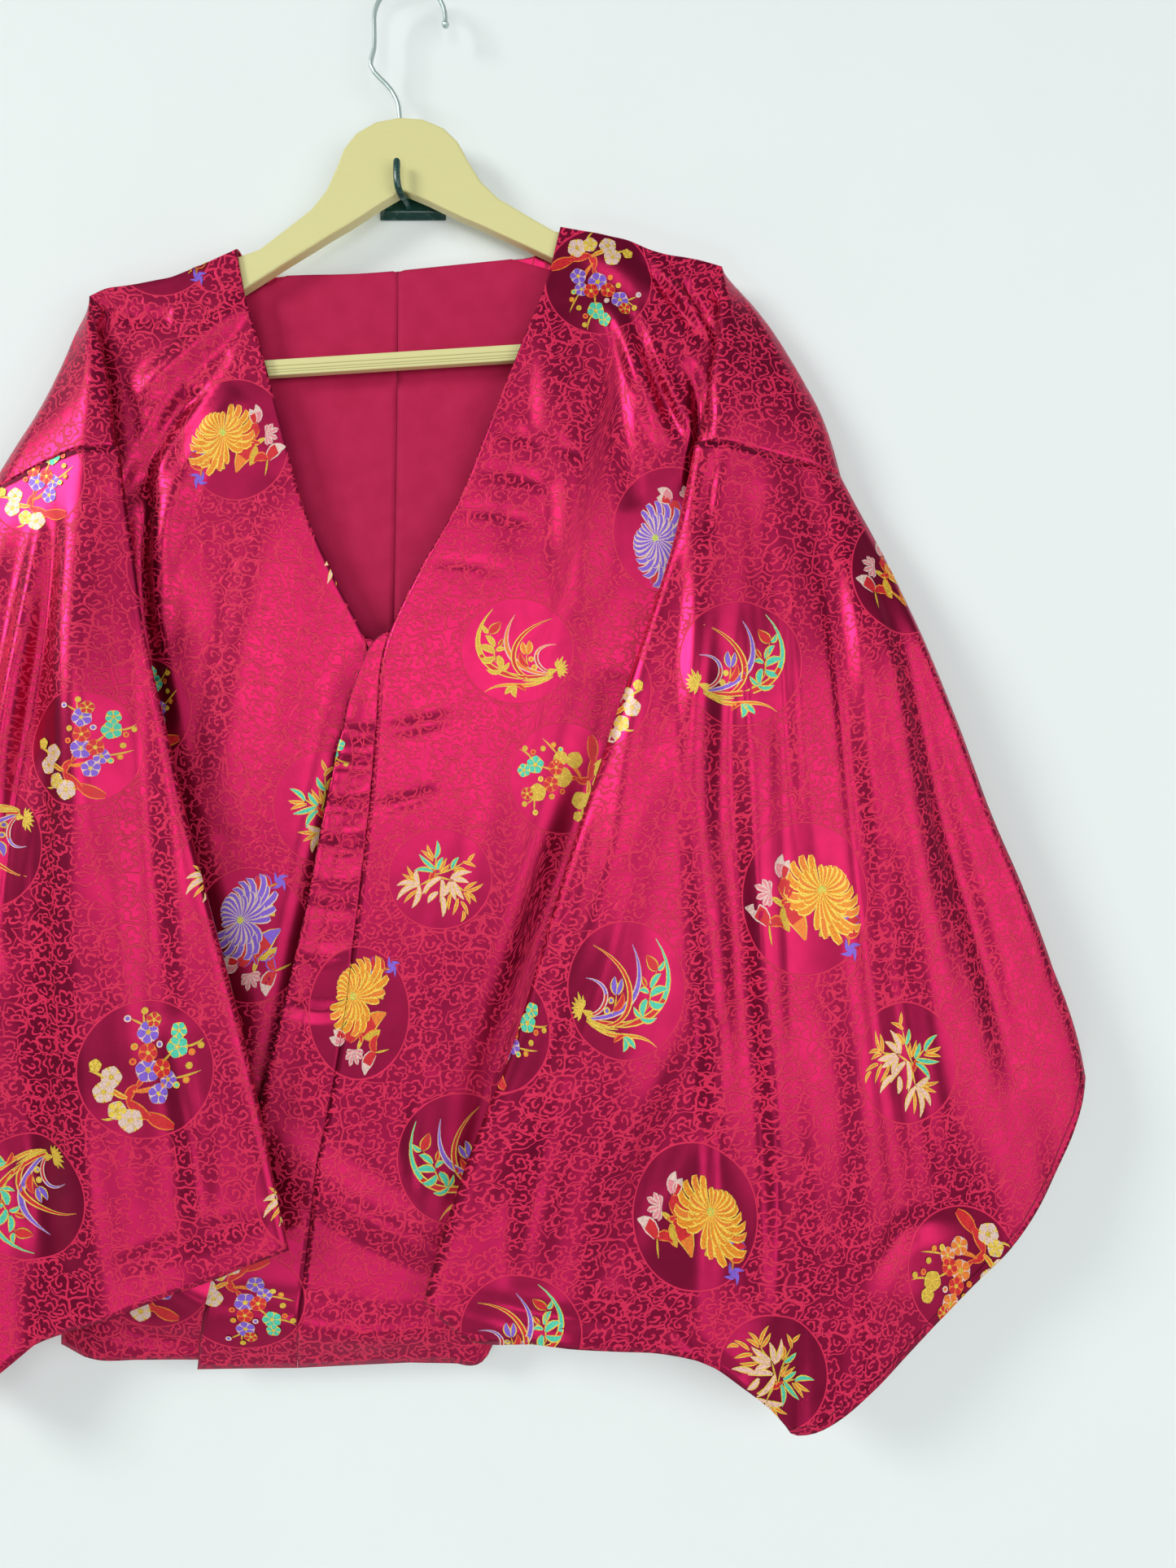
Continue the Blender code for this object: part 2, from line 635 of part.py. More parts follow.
def wire(name, points, radius, look, scales=None):
    """Round wire through points, with filled ends."""
    curve = bpy.data.curves.new(name, "CURVE")
    curve.dimensions = "3D"
    curve.bevel_depth = radius
    curve.bevel_resolution = 3
    curve.use_fill_caps = True
    spline = curve.splines.new("POLY")
    spline.points.add(len(points) - 1)
    for k, point in enumerate(points):
        spline.points[k].co = (*point, 1)
        if scales is not None:
            spline.points[k].radius = scales[k]
    obj = bpy.data.objects.new(name, curve)
    bpy.context.scene.collection.objects.link(obj)
    curve.materials.append(material(name + "_finish", look))


def smooth_path(anchors, steps):
    """Points along a smooth curve through a few anchors."""
    points = []
    knots = [0.0]
    for before, after in zip(anchors, anchors[1:]):
        knots.append(knots[-1] + (after - before).length)
    for k in range(len(anchors) - 1):
        for step in range(steps):
            target = knots[k] + (knots[k + 1] - knots[k]) * step / steps
            points.append(hermite(anchors, knots, k, target))
    return points + [anchors[-1]]


def steel_hook():
    """Steel hook of the hanger: up from the head, aside, and round to its ball end."""
    y = HANGER_Y
    centre_x, centre_z = HOOK_CENTRE
    foot = tilted(0, (WOOD_PROFILE[0][1] + 0.35) * MM, 0)
    anchors = [
        foot,
        foot + Vector((-1.5, 0, 12)) * MM,
        foot + Vector((-6.0, 0, 21)) * MM,
        foot + Vector((-20.0, 0, 38)) * MM,
        Vector((centre_x - HOOK_RADIUS, y, 98 * MM)),
        Vector((centre_x - HOOK_RADIUS, y, centre_z)),
    ]
    points = smooth_path(anchors, 4)
    turns = 18
    for step in range(1, turns + 1):
        angle = math.pi - math.pi * step / turns
        x = centre_x + HOOK_RADIUS * math.cos(angle)
        z = centre_z + HOOK_RADIUS * math.sin(angle)
        points.append(Vector((x, y, z)))
    scales = [1.0] * len(points)
    for degrees in (40, 65, 90, 115, 140, 160):
        angle = math.radians(degrees)
        height = centre_z - 4.0 * MM + HOOK_BALL * math.cos(angle)
        points.append(Vector((centre_x + HOOK_RADIUS, y, height)))
        scales.append(HOOK_BALL / WIRE_RADIUS * math.sin(angle))
    wire("hanger_hook", points, WIRE_RADIUS, "steel", scales)


def wall_hook():
    """Wall plate with a bevelled face, and the prong that the hanger's notch rests on."""
    work = bmesh.new()
    bmesh.ops.create_cube(work, size=1)
    height = PLATE_TOP - PLATE_BOTTOM
    bmesh.ops.scale(work, verts=work.verts, vec=(PLATE_WIDTH, PLATE_DEPTH, height))
    bmesh.ops.translate(work, verts=work.verts, vec=(0, -PLATE_DEPTH / 2, (PLATE_TOP + PLATE_BOTTOM) / 2))
    for vert in work.verts:
        if vert.co.y < -PLATE_DEPTH / 2:
            vert.co.x *= 0.80
            vert.co.z += 3.5 * MM if vert.co.z < 0 else -3.5 * MM
    mesh = bpy.data.meshes.new("wall_plate")
    work.to_mesh(mesh)
    work.free()
    plate = add_object("wall_plate", mesh, "green")
    edge = plate.modifiers.new("rounded edges", "BEVEL")
    edge.width = 0.7 * MM
    edge.segments = 2
    start_y = -PLATE_DEPTH - 0.35 * MM
    anchors = [Vector(row) * MM for row in PRONG_PATH]
    anchors.insert(0, Vector((PRONG_PATH[0][0] * MM, start_y, PRONG_PATH[0][2] * MM)))
    points = smooth_path(anchors, 5)
    last = points[-1]
    scales = [1.0] * len(points)
    for rise, scale in ((0.9, 0.94), (1.7, 0.76), (2.2, 0.45)):
        points.append(last + Vector((0, 0, rise * MM)))
        scales.append(scale)
    wire("wall_prong", points, PRONG_RADIUS, "green", scales)


def main():
    """Build every piece."""
    for name, side in (("left", LEFT), ("right", RIGHT)):
        arm_seam, front_edge = body_half("body_" + name, side)
        sleeve("sleeve_" + name, side, arm_seam)
        front_band("band_" + name, side, front_edge)
        back_lining("lining_" + name, side)
    wood_hanger()
    hanger_bar()
    steel_hook()
    wall_hook()


main()
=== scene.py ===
"""Brocade haori on a wooden hanger and wall hook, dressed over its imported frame.

Sizes in the tables are millimetres in the frame of the part: X to the viewer's right,
Y into the wall, Z up, with the origin at the middle of the wall hook's back face.
"""
from __future__ import annotations

import logging
import math
from collections.abc import Sequence
from dataclasses import dataclass, field
from enum import Enum
from functools import cached_property

import bmesh
import bpy
import numpy as np
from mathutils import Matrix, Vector
from mathutils.bvhtree import BVHTree

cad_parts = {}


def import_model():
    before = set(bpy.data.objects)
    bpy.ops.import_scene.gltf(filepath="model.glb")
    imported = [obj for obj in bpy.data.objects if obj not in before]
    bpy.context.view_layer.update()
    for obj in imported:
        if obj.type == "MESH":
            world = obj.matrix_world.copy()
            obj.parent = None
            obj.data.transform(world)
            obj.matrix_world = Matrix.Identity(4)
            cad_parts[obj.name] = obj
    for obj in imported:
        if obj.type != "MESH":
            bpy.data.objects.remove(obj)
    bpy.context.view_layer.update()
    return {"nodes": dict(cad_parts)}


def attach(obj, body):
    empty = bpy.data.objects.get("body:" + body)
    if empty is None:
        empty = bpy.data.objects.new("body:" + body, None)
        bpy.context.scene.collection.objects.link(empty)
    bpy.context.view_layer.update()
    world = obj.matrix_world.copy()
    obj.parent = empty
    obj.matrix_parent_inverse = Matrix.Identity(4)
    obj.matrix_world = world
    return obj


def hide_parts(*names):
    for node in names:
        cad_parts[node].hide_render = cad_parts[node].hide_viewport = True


LOG = logging.getLogger("haori")

MM = 0.001
CLOTH = 1.2
SEAM_GAP = 0.3
BACK_Y = -7.5
LINING_Y = -8.9
HANGER_Y = -19.0
RIDGE_RADIUS = 8.0
RIDGE_RISE = 0.30
UNDER_FRONT_Y = -27.5
OVER_FRONT_Y = -31.0
WOOD_FRONT_Y = -25.6
WOOD_REACH = 218
BAR_FOOT_Z = -137.0
EASED_BELOW = 30
CREST_STEPS = 60
LEAN_GAIN = 1.6
FACING_WIDTH = 4.2
BAR_SLOPE = 0.0629
BAR_GROOVES = (-116.3, -118.8, -120.5)

PANEL_SHARES = (0.0, 0.11, 0.22, 0.32, 0.41, 0.45, 0.56, 0.67, 0.78, 0.89, 1.0)
SHOULDER_ROWS = 7
LOWER_ROWS = 13
SLEEVE_ROWS = 18
NECK_STEPS = 5
UNDER_SHARES = (1.0, 0.72, 0.42, 0.14)
FRONT_SHARES = (0.0, 0.03, 0.10, 0.20, 0.31, 0.42, 0.50, 0.60, 0.70, 0.80, 0.90, 0.97, 1.0)
BACK_SHARES = (0.05, 0.22, 0.48, 0.74, 1.0)
TIP_SHARE = 0.50
BACK_FOLD_SHARE = 0.75
INNER_OUTSIDE = 2.5
ARM_CLEAR = 1.6
ARM_SEAM_GAP = 0.02
SHUT_HALF = (CLOTH + SEAM_GAP) / 2 + 0.55
LINING_SHARE = 0.66
RIDGE_FADE = 40.0
SHOULDER_FALL = 60.0
MESH_STEP = 4.0
PANEL_WIDTH = 320
MOTIF_REACH = 0.97
OUTLINE = 0.0115
OUTLINE_MOST = 0.28
MOTIF_LIFT = 0.22
BLADE_STEP = 0.0035
FULL_TURN = 6.2832
CLEAR_Y = 0.3
OFF_DISC = -0.02
OFF_SEAM_SHADOW = 0.1

Row = tuple[float, float]
Colour = tuple[float, float, float, float]
Place = tuple[float, float, float]
Array = np.ndarray
Object = bpy.types.Object
Material = bpy.types.Material
Nodes = bpy.types.NodeTree
Node = bpy.types.Node
Socket = bpy.types.NodeSocket
Vert = bmesh.types.BMVert


def pairs(numbers: Sequence[float]) -> tuple[Row, ...]:
    """Numbers taken two by two."""
    return tuple(zip(numbers[::2], numbers[1::2]))


def smooth(value: float) -> float:
    """Ease from 0 to 1."""
    value = max(0.0, min(1.0, value))
    return value * value * (3 - 2 * value)


def round_bump(value: float, centre: float, width: float) -> float:
    """Round bump of height 1 at the centre, gone at the width."""
    reach = abs(value - centre) / width
    return 0.0 if reach >= 1 else 0.5 + 0.5 * math.cos(math.pi * reach)


def spline(values: Array, knots: Array, targets: Array) -> Array:
    """Smooth curve through values along their first axis.

    Args:
        values: the points, one for each knot.
        knots: rising places of the points.
        targets: the places that are wanted.

    Returns:
        The points at the targets.
    """
    knots = np.asarray(knots, float)
    targets = np.clip(np.asarray(targets, float), knots[0], knots[-1])
    shape = (-1,) + (1,) * (values.ndim - 1)
    spans = np.diff(knots)
    steps = np.diff(values, axis=0) / spans.reshape(shape)
    slopes = np.concatenate([steps[:1], (steps[:-1] + steps[1:]) / 2, steps[-1:]])
    index = np.clip(np.searchsorted(knots, targets, side="right") - 1, 0, len(spans) - 1)
    span = spans[index].reshape(shape)
    t = (targets - knots[index]).reshape(shape) / span
    return (
        values[index] * (2 * t**3 - 3 * t**2 + 1)
        + slopes[index] * span * (t**3 - 2 * t**2 + t)
        + values[index + 1] * (3 * t**2 - 2 * t**3)
        + slopes[index + 1] * span * (t**3 - t**2)
    )


def spline_across(values: Array, knots: Array, targets: Array) -> Array:
    """Smooth curve through values along their second axis."""
    return spline(values.swapaxes(0, 1), knots, targets).swapaxes(0, 1)


def with_corner(fine: Array, edge: Array, places: tuple[Array, Array], corner: int, shares: Array) -> Array:
    """Fine panel with one sharp corner kept in its inner edge.

    Args:
        fine: the panel's points.
        edge: the edge's coarse points.
        places: places of the coarse points along the edge, and those of the fine ones.
        corner: number of the coarse point that stays sharp.
        shares: how much each column of the panel keeps of its own place, 0 at the edge.

    Returns:
        The panel's new points.
    """
    knots, targets = places
    upper = spline(edge[:corner + 1], knots[:corner + 1], targets)
    lower = spline(edge[corner:], knots[corner:], targets)
    moved = np.where((targets <= knots[corner])[:, None], upper, lower) - fine[:, 0]
    return fine + moved[:, None, :] * (np.clip(1 - shares, 0, 1) ** 2)[None, :, None]


def mean_knots(grid: Array, axis: int) -> Array:
    """Mean running length of a grid of points along one of its axes."""
    steps = np.linalg.norm(np.diff(grid, axis=axis), axis=2).mean(axis=1 - axis)
    return np.concatenate([[0.0], np.cumsum(np.maximum(steps, 0.2))])


@dataclass(frozen=True)
class Line:
    """Smooth line through (x, z) rows."""

    rows: tuple[Row, ...]

    @cached_property
    def points(self) -> Array:
        """The rows as an array."""
        return np.array(self.rows, float)

    @cached_property
    def lengths(self) -> Array:
        """Running length at each row."""
        steps = np.linalg.norm(np.diff(self.points, axis=0), axis=1)
        return np.concatenate([[0.0], np.cumsum(steps)])

    def at(self, share: float) -> Vector:
        """Point at a share of the length."""
        target = max(0.0, min(1.0, share)) * self.lengths[-1]
        return Vector(spline(self.points, self.lengths, np.array([target]))[0])

    def x_at(self, height: float) -> float:
        """The x where the line passes a height; the rows run downwards."""
        knots = -self.points[:, 1]
        return float(spline(self.points[:, :1], knots, np.array([-height]))[0, 0])

    def part(self, first: int, last: int | None) -> "Line":
        """Line through some of the rows."""
        return Line(self.rows[first:last])


def line(*numbers: float) -> Line:
    """Line from the x and z of its points, one after another."""
    return Line(pairs(numbers))


@dataclass(frozen=True)
class SideShape:
    """The lines that shape one side of the garment, each running downwards.

    A front fold has its place across, the heights where it starts and ends, and its depth. A sleeve fold
    has its place across, its width and its depth.
    """

    name: str
    sign: int
    front_y: float
    hem_side: float
    underarm: float
    hem_turn: tuple[float, float, float]
    front_edge: Line
    back_edge: Line
    ridge: Line
    side: Line
    cap_fold: Line
    cap_outline: Line
    cap_seam: Line
    sleeve_fold: Line
    sleeve_outline: Line
    sleeve_bottom: Line
    cuff: Line
    band_edge: Line
    front_folds: tuple[tuple[float, float, float, float], ...]
    sleeve_folds: tuple[tuple[float, float, float], ...]


# Every line has the x and z of its points, one after another.
CENTRE_BACK = (-9, -51, -10, -160, -12, -300, -13, -500, -13, -700, -13, -803)
RIGHT = SideShape(
    name="right",
    sign=1,
    front_y=OVER_FRONT_Y,
    hem_side=-791,
    underarm=-430,
    hem_turn=(52.5, 12.0, 24.0),
    front_edge=line(
        104, -30, 93, -73, 77, -112, 55, -168, 28, -232, 4, -272, -12, -303, -17, -337, -25, -426,
        -33, -494, -45, -588, -58, -657, -70, -747, -76, -808,
    ),
    back_edge=line(104, -30, 96, -38, 82, -42, 50, -45, 20, -48, *CENTRE_BACK),
    ridge=line(104, -30, 127, -34, 150, -39, 171, -48, 197, -52, 214, -57),
    side=line(
        214, -57, 207, -70, 216, -88, 223, -107, 229, -145, 233, -190, 235, -300, 234, -430, 236, -600,
        238, -700, 237, -791,
    ),
    cap_fold=line(214, -60, 209, -109, 203, -142, 195, -181),
    cap_outline=line(217, -60, 242, -89, 266, -127, 284, -162, 295, -199),
    cap_seam=line(195, -181, 221, -183, 244, -188, 264, -192, 295, -199),
    sleeve_fold=line(
        195, -181, 184, -231, 172, -274, 152, -335, 133, -390, 108, -466, 88, -534, 71, -589, 49, -643,
        28, -704, 15, -750,
    ),
    sleeve_outline=line(
        295, -199, 321, -253, 345, -312, 368, -372, 389, -428, 412, -481, 432, -531, 446, -569, 453, -601,
    ),
    sleeve_bottom=line(
        15, -750, 50, -779, 72, -776, 116, -778, 173, -784, 196, -789, 219, -800, 241, -815, 257, -834,
    ),
    cuff=line(257, -834, 275, -830, 318, -792, 365, -746, 408, -696, 429, -664, 447, -626, 453, -601),
    band_edge=line(
        -12, -303, -20.5, -309.5, -26.5, -318, -33.5, -336, -38.5, -352, -44.5, -378, -49, -398, -55, -426,
        -67, -491, -80, -548, -98, -619, -115, -682, -132, -745, -144, -808,
    ),
    front_folds=(
        (0.62, -70, -420, 3.2), (0.80, -80, -520, 4.2), (0.45, -110, -380, 2.0), (0.70, -560, -800, 2.6),
    ),
    sleeve_folds=((0.2, 0.12, 6.0), (0.42, 0.1, 7.0), (0.63, 0.09, 5.5), (0.82, 0.09, 6.5)),
)

LEFT = SideShape(
    name="left",
    sign=-1,
    front_y=UNDER_FRONT_Y,
    hem_side=-800,
    underarm=-450,
    hem_turn=(-225.0, 14.0, 7.0),
    front_edge=line(
        -116, -45, -110, -77, -98, -117, -82, -178, -71, -218, -54, -258, -40, -286, -33, -297, -26.5, -304,
        -26, -320, -23, -426, -18, -494, -12, -588, -6, -657, 1, -747, 8, -806,
    ),
    back_edge=line(-116, -45, -115, -52, -106, -55, -70, -54, -36, -53, *CENTRE_BACK),
    ridge=line(-116, -45, -138, -55, -160, -64, -185, -69, -205, -72, -216, -77),
    side=line(
        -216, -77, -206, -90, -217, -105, -224, -122, -229, -150, -232, -190, -236, -300, -236, -430,
        -237, -600, -238, -700, -239, -800,
    ),
    cap_fold=line(-216, -80, -204, -112, -197, -140, -190, -184),
    cap_outline=line(-219, -80, -234, -118, -250, -152, -270, -184, -290, -217),
    cap_seam=line(-190, -184, -216, -187, -238, -194, -264, -205, -290, -217),
    sleeve_fold=line(
        -190, -184, -182, -239, -175, -280, -168, -318, -156, -370, -144, -422, -125, -494, -104, -575,
        -88, -653, -80, -690, -74, -715,
    ),
    sleeve_outline=line(
        -290, -217, -317, -268, -343, -325, -368, -385, -391, -441, -415, -495, -439, -545, -457, -585,
        -467, -618,
    ),
    sleeve_bottom=line(
        -74, -715, -105, -727, -124, -735, -167, -750, -191, -759, -227, -771, -250, -783, -270, -800,
        -292, -828,
    ),
    cuff=line(
        -292, -828, -309, -824, -347, -790, -388, -745, -425, -700, -444, -670, -460, -640, -467, -618,
    ),
    band_edge=line(
        -26, -305, -21.5, -310, -17, -330, -10, -388, -6, -426, 4, -491, 12, -548, 22, -619, 31, -682,
        40, -745, 48, -806,
    ),
    front_folds=((0.55, -90, -330, 3.0), (0.78, -100, -420, 4.0), (0.66, -480, -790, 2.5)),
    sleeve_folds=((0.24, 0.11, 6.5), (0.46, 0.1, 5.5), (0.68, 0.1, 7.0), (0.86, 0.08, 5.0)),
)


@dataclass(frozen=True)
class Crease:
    """One crease, seen from the front.

    Args:
        path: (x, z) points that its crest follows.
        width: how far it reaches to each side.
        depth: height of the crest; negative is a trough.
        lean: how much steeper one flank is, from -1 to 1.
    """

    path: tuple[Row, ...]
    width: float
    depth: float
    lean: float = 0.0

    def lift(self, places: Array) -> Array:
        """Height of the crease at places in the front view.

        Args:
            places: array of (x, z), in millimetres.

        Returns:
            The height at each place, in millimetres.
        """
        points = np.array(self.path, float)
        lengths = np.concatenate([[0.0], np.cumsum(np.linalg.norm(np.diff(points, axis=0), axis=1))])
        targets = np.linspace(0, lengths[-1], CREST_STEPS)
        crest = spline(points, lengths, targets)
        along = np.gradient(crest, axis=0)
        along /= np.linalg.norm(along, axis=1)[:, None]
        low = crest.min(axis=0) - self.width
        high = crest.max(axis=0) + self.width
        near = np.all((places > low) & (places < high), axis=1)
        heights = np.zeros(len(places))
        if not near.any():
            return heights
        offsets = places[near][:, None, :] - crest[None]
        distances = np.linalg.norm(offsets, axis=2)
        nearest = distances.argmin(axis=1)
        rows = np.arange(len(nearest))
        chosen = offsets[rows, nearest]
        tangent = along[nearest]
        side = chosen[:, 0] * tangent[:, 1] - chosen[:, 1] * tangent[:, 0]
        reach = np.clip(np.abs(side) / self.width, 0, 1)
        share = (targets[nearest] + (chosen * tangent).sum(axis=1)) / lengths[-1]
        taper = np.sin(np.pi * np.clip(share, 0, 1)) ** 0.7
        leaning = 1 + self.lean * np.clip(side / self.width, -1, 1) * LEAN_GAIN
        heights[near] = self.depth * taper * (0.5 + 0.5 * np.cos(np.pi * reach)) * leaning
        return heights


class Motif(Enum):
    """Traditional woven motifs of the cloth."""

    PLUM = "plum"
    CHRYSANTHEMUM = "chrysanthemum"
    ORCHID = "orchid"
    BAMBOO = "bamboo"


class Thread(Enum):
    """Colours of the woven motifs."""

    GOLD = (0.66, 0.42, 0.035, 1.0)
    YELLOW = (0.78, 0.56, 0.07, 1.0)
    ORANGE = (0.80, 0.21, 0.02, 1.0)
    RED = (0.62, 0.012, 0.02, 1.0)
    PINK = (0.74, 0.24, 0.28, 1.0)
    WHITE = (0.74, 0.53, 0.47, 1.0)
    PURPLE = (0.22, 0.10, 0.62, 1.0)
    TEAL = (0.07, 0.58, 0.40, 1.0)
    GREEN = (0.52, 0.62, 0.10, 1.0)
    PALE = (0.80, 0.50, 0.42, 1.0)
    PETAL = (0.80, 0.27, 0.010, 1.0)
    PETAL_EDGE = (0.88, 0.62, 0.08, 1.0)


GOLD, YELLOW, ORANGE, RED, PINK, WHITE, PURPLE, TEAL, GREEN, PALE, PETAL, PETAL_EDGE = Thread


class Palette(Enum):
    """Sets of thread colours that a motif is woven in, as swaps of its usual ones."""

    FULL = ()
    COOL = ((PETAL, PURPLE), (ORANGE, PURPLE), (PETAL_EDGE, WHITE))
    WARM = ((TEAL, GOLD), (PURPLE, ORANGE))
    GILT = ((WHITE, YELLOW), (PURPLE, GOLD))

    def tone(self, thread: Thread) -> Colour:
        """Colour of a thread in this set."""
        return dict(self.value).get(thread, thread).value


@dataclass(frozen=True)
class Medallion:
    """Plain disc in the clouds with a motif in it.

    Args:
        motif: what is woven in it.
        x: place across.
        z: height.
        half_width: half of its width.
        half_height: half of its height.
        turn: turn of the motif in degrees.
        flip: whether the motif is mirrored.
        palette: the threads it is woven in.
        behind: whether it lies on the side that faces the wall.
    """

    motif: Motif
    x: float
    z: float
    half_width: float
    half_height: float
    turn: float = 0.0
    flip: bool = False
    palette: Palette = Palette.FULL
    behind: bool = False

    def inside(self, places: Array) -> Array:
        """Distance in metres from the rim, positive inside, at (x, z) places.

        Args:
            places: rows of (x, z), in millimetres.

        Returns:
            The distance of each.
        """
        dx = (places[:, 0] - self.x) / self.half_width
        dz = (places[:, 1] - self.z) / self.half_height
        return (1 - np.sqrt(dx * dx + dz * dz)) * min(self.half_width, self.half_height) * MM


PLUM, CHRYSANTHEMUM, ORCHID, BAMBOO = Motif
FULL, COOL, WARM, GILT = Palette
# Each row has a disc's motif, x, z, half width and half height, then its turn, flip and palette where it
# has them. The discs toward the viewer come first, and then those toward the wall.
DISC_ROWS = {
    "body_right": ((
        (PLUM, 130, -67, 36, 36, 230), (CHRYSANTHEMUM, 178, -237, 38, 43, 50, True, COOL),
        (ORCHID, 75, -318, 38, 36, 0, True, WARM), (PLUM, 106, -404, 36, 38, 120, False, GILT),
        (BAMBOO, 23, -472, 35, 34), (CHRYSANTHEMUM, -32, -563, 34, 45, 90),
        (ORCHID, 34, -662, 40, 44, 20, True), (PLUM, -109, -758, 41, 33, 180, True),
        (PLUM, -70, -386, 34, 35, -40), (ORCHID, 178, -488, 38, 41, 10), (BAMBOO, 150, -648, 36, 41, 20),
    ), (
        (PLUM, 60, -120, 36, 38), (ORCHID, 160, -175, 37, 38), (BAMBOO, 70, -262, 35, 38),
        (CHRYSANTHEMUM, 165, -330, 38, 43), (PLUM, 62, -420, 36, 38, 30), (ORCHID, 168, -490, 38, 40),
        (CHRYSANTHEMUM, 60, -575, 38, 43, 0, False, COOL), (BAMBOO, 165, -645, 36, 40),
        (PLUM, 66, -725, 37, 38),
    )),
    "body_left": ((
        (CHRYSANTHEMUM, -116, -174, 36, 41, 0, True), (CHRYSANTHEMUM, -167, -38, 36, 38),
        (BAMBOO, -55, -424, 36, 39, 60), (CHRYSANTHEMUM, -107, -511, 39, 46, 100, False, COOL),
        (PLUM, -180, -358, 33, 36, 30), (PLUM, -171, -738, 41, 39),
        (BAMBOO, -24, -248, 40, 42, 10, False, WARM), (BAMBOO, -170, -610, 36, 38),
    ), (
        (BAMBOO, -80, -120, 35, 38), (CHRYSANTHEMUM, -170, -190, 38, 43), (PLUM, -76, -270, 36, 38),
        (ORCHID, -176, -345, 37, 38), (CHRYSANTHEMUM, -78, -425, 38, 43, 0, False, COOL),
        (BAMBOO, -175, -500, 36, 40), (ORCHID, -76, -580, 37, 38, 0, False, WARM),
        (PLUM, -172, -655, 36, 38), (CHRYSANTHEMUM, -78, -730, 38, 43),
    )),
    "sleeve_right": ((
        (ORCHID, 223, -329, 40, 41), (CHRYSANTHEMUM, 265, -483, 42, 50),
        (BAMBOO, 331, -590, 31, 40, -45, True), (ORCHID, 148, -542, 38, 45, -5),
        (CHRYSANTHEMUM, 193, -692, 40, 50, -5), (BAMBOO, 244, -794, 35, 40, -90, True),
        (PLUM, 367, -726, 35, 43, 160, False, WARM), (CHRYSANTHEMUM, 334, -267, 36, 42),
        (PLUM, 131, -347, 34, 38, 0, True), (PLUM, 66, -571, 32, 40, -20), (ORCHID, 79, -768, 40, 38, 10),
    ), (
        (PLUM, 300, -350, 36, 42), (ORCHID, 350, -480, 38, 42), (CHRYSANTHEMUM, 280, -590, 40, 46),
        (BAMBOO, 375, -630, 36, 40), (PLUM, 290, -740, 36, 42),
    )),
    "sleeve_left": ((
        (PLUM, -244, -207, 35, 35, 20), (PLUM, -148, -262, 34, 36), (PLUM, -205, -385, 36, 37),
        (PLUM, -164, -594, 42, 45), (ORCHID, -243, -679, 40, 42, 211), (ORCHID, -268, -449, 35, 40, 190),
        (BAMBOO, -112, -465, 34, 36), (BAMBOO, -62, -677, 34, 38), (CHRYSANTHEMUM, -330, -400, 38, 45),
        (BAMBOO, -345, -530, 34, 40), (PLUM, -420, -620, 36, 42), (CHRYSANTHEMUM, -330, -690, 40, 48),
    ), (
        (ORCHID, -290, -310, 36, 38), (PLUM, -350, -440, 36, 42),
        (CHRYSANTHEMUM, -290, -560, 40, 46, 0, False, COOL), (BAMBOO, -390, -600, 36, 40),
        (ORCHID, -300, -710, 38, 42),
    )),
}
MEDALLIONS: dict[str, tuple[Medallion, ...]] = {
    name: tuple([Medallion(*row) for row in seen] + [Medallion(*row, behind=True) for row in hidden])
    for name, (seen, hidden) in DISC_ROWS.items()
}


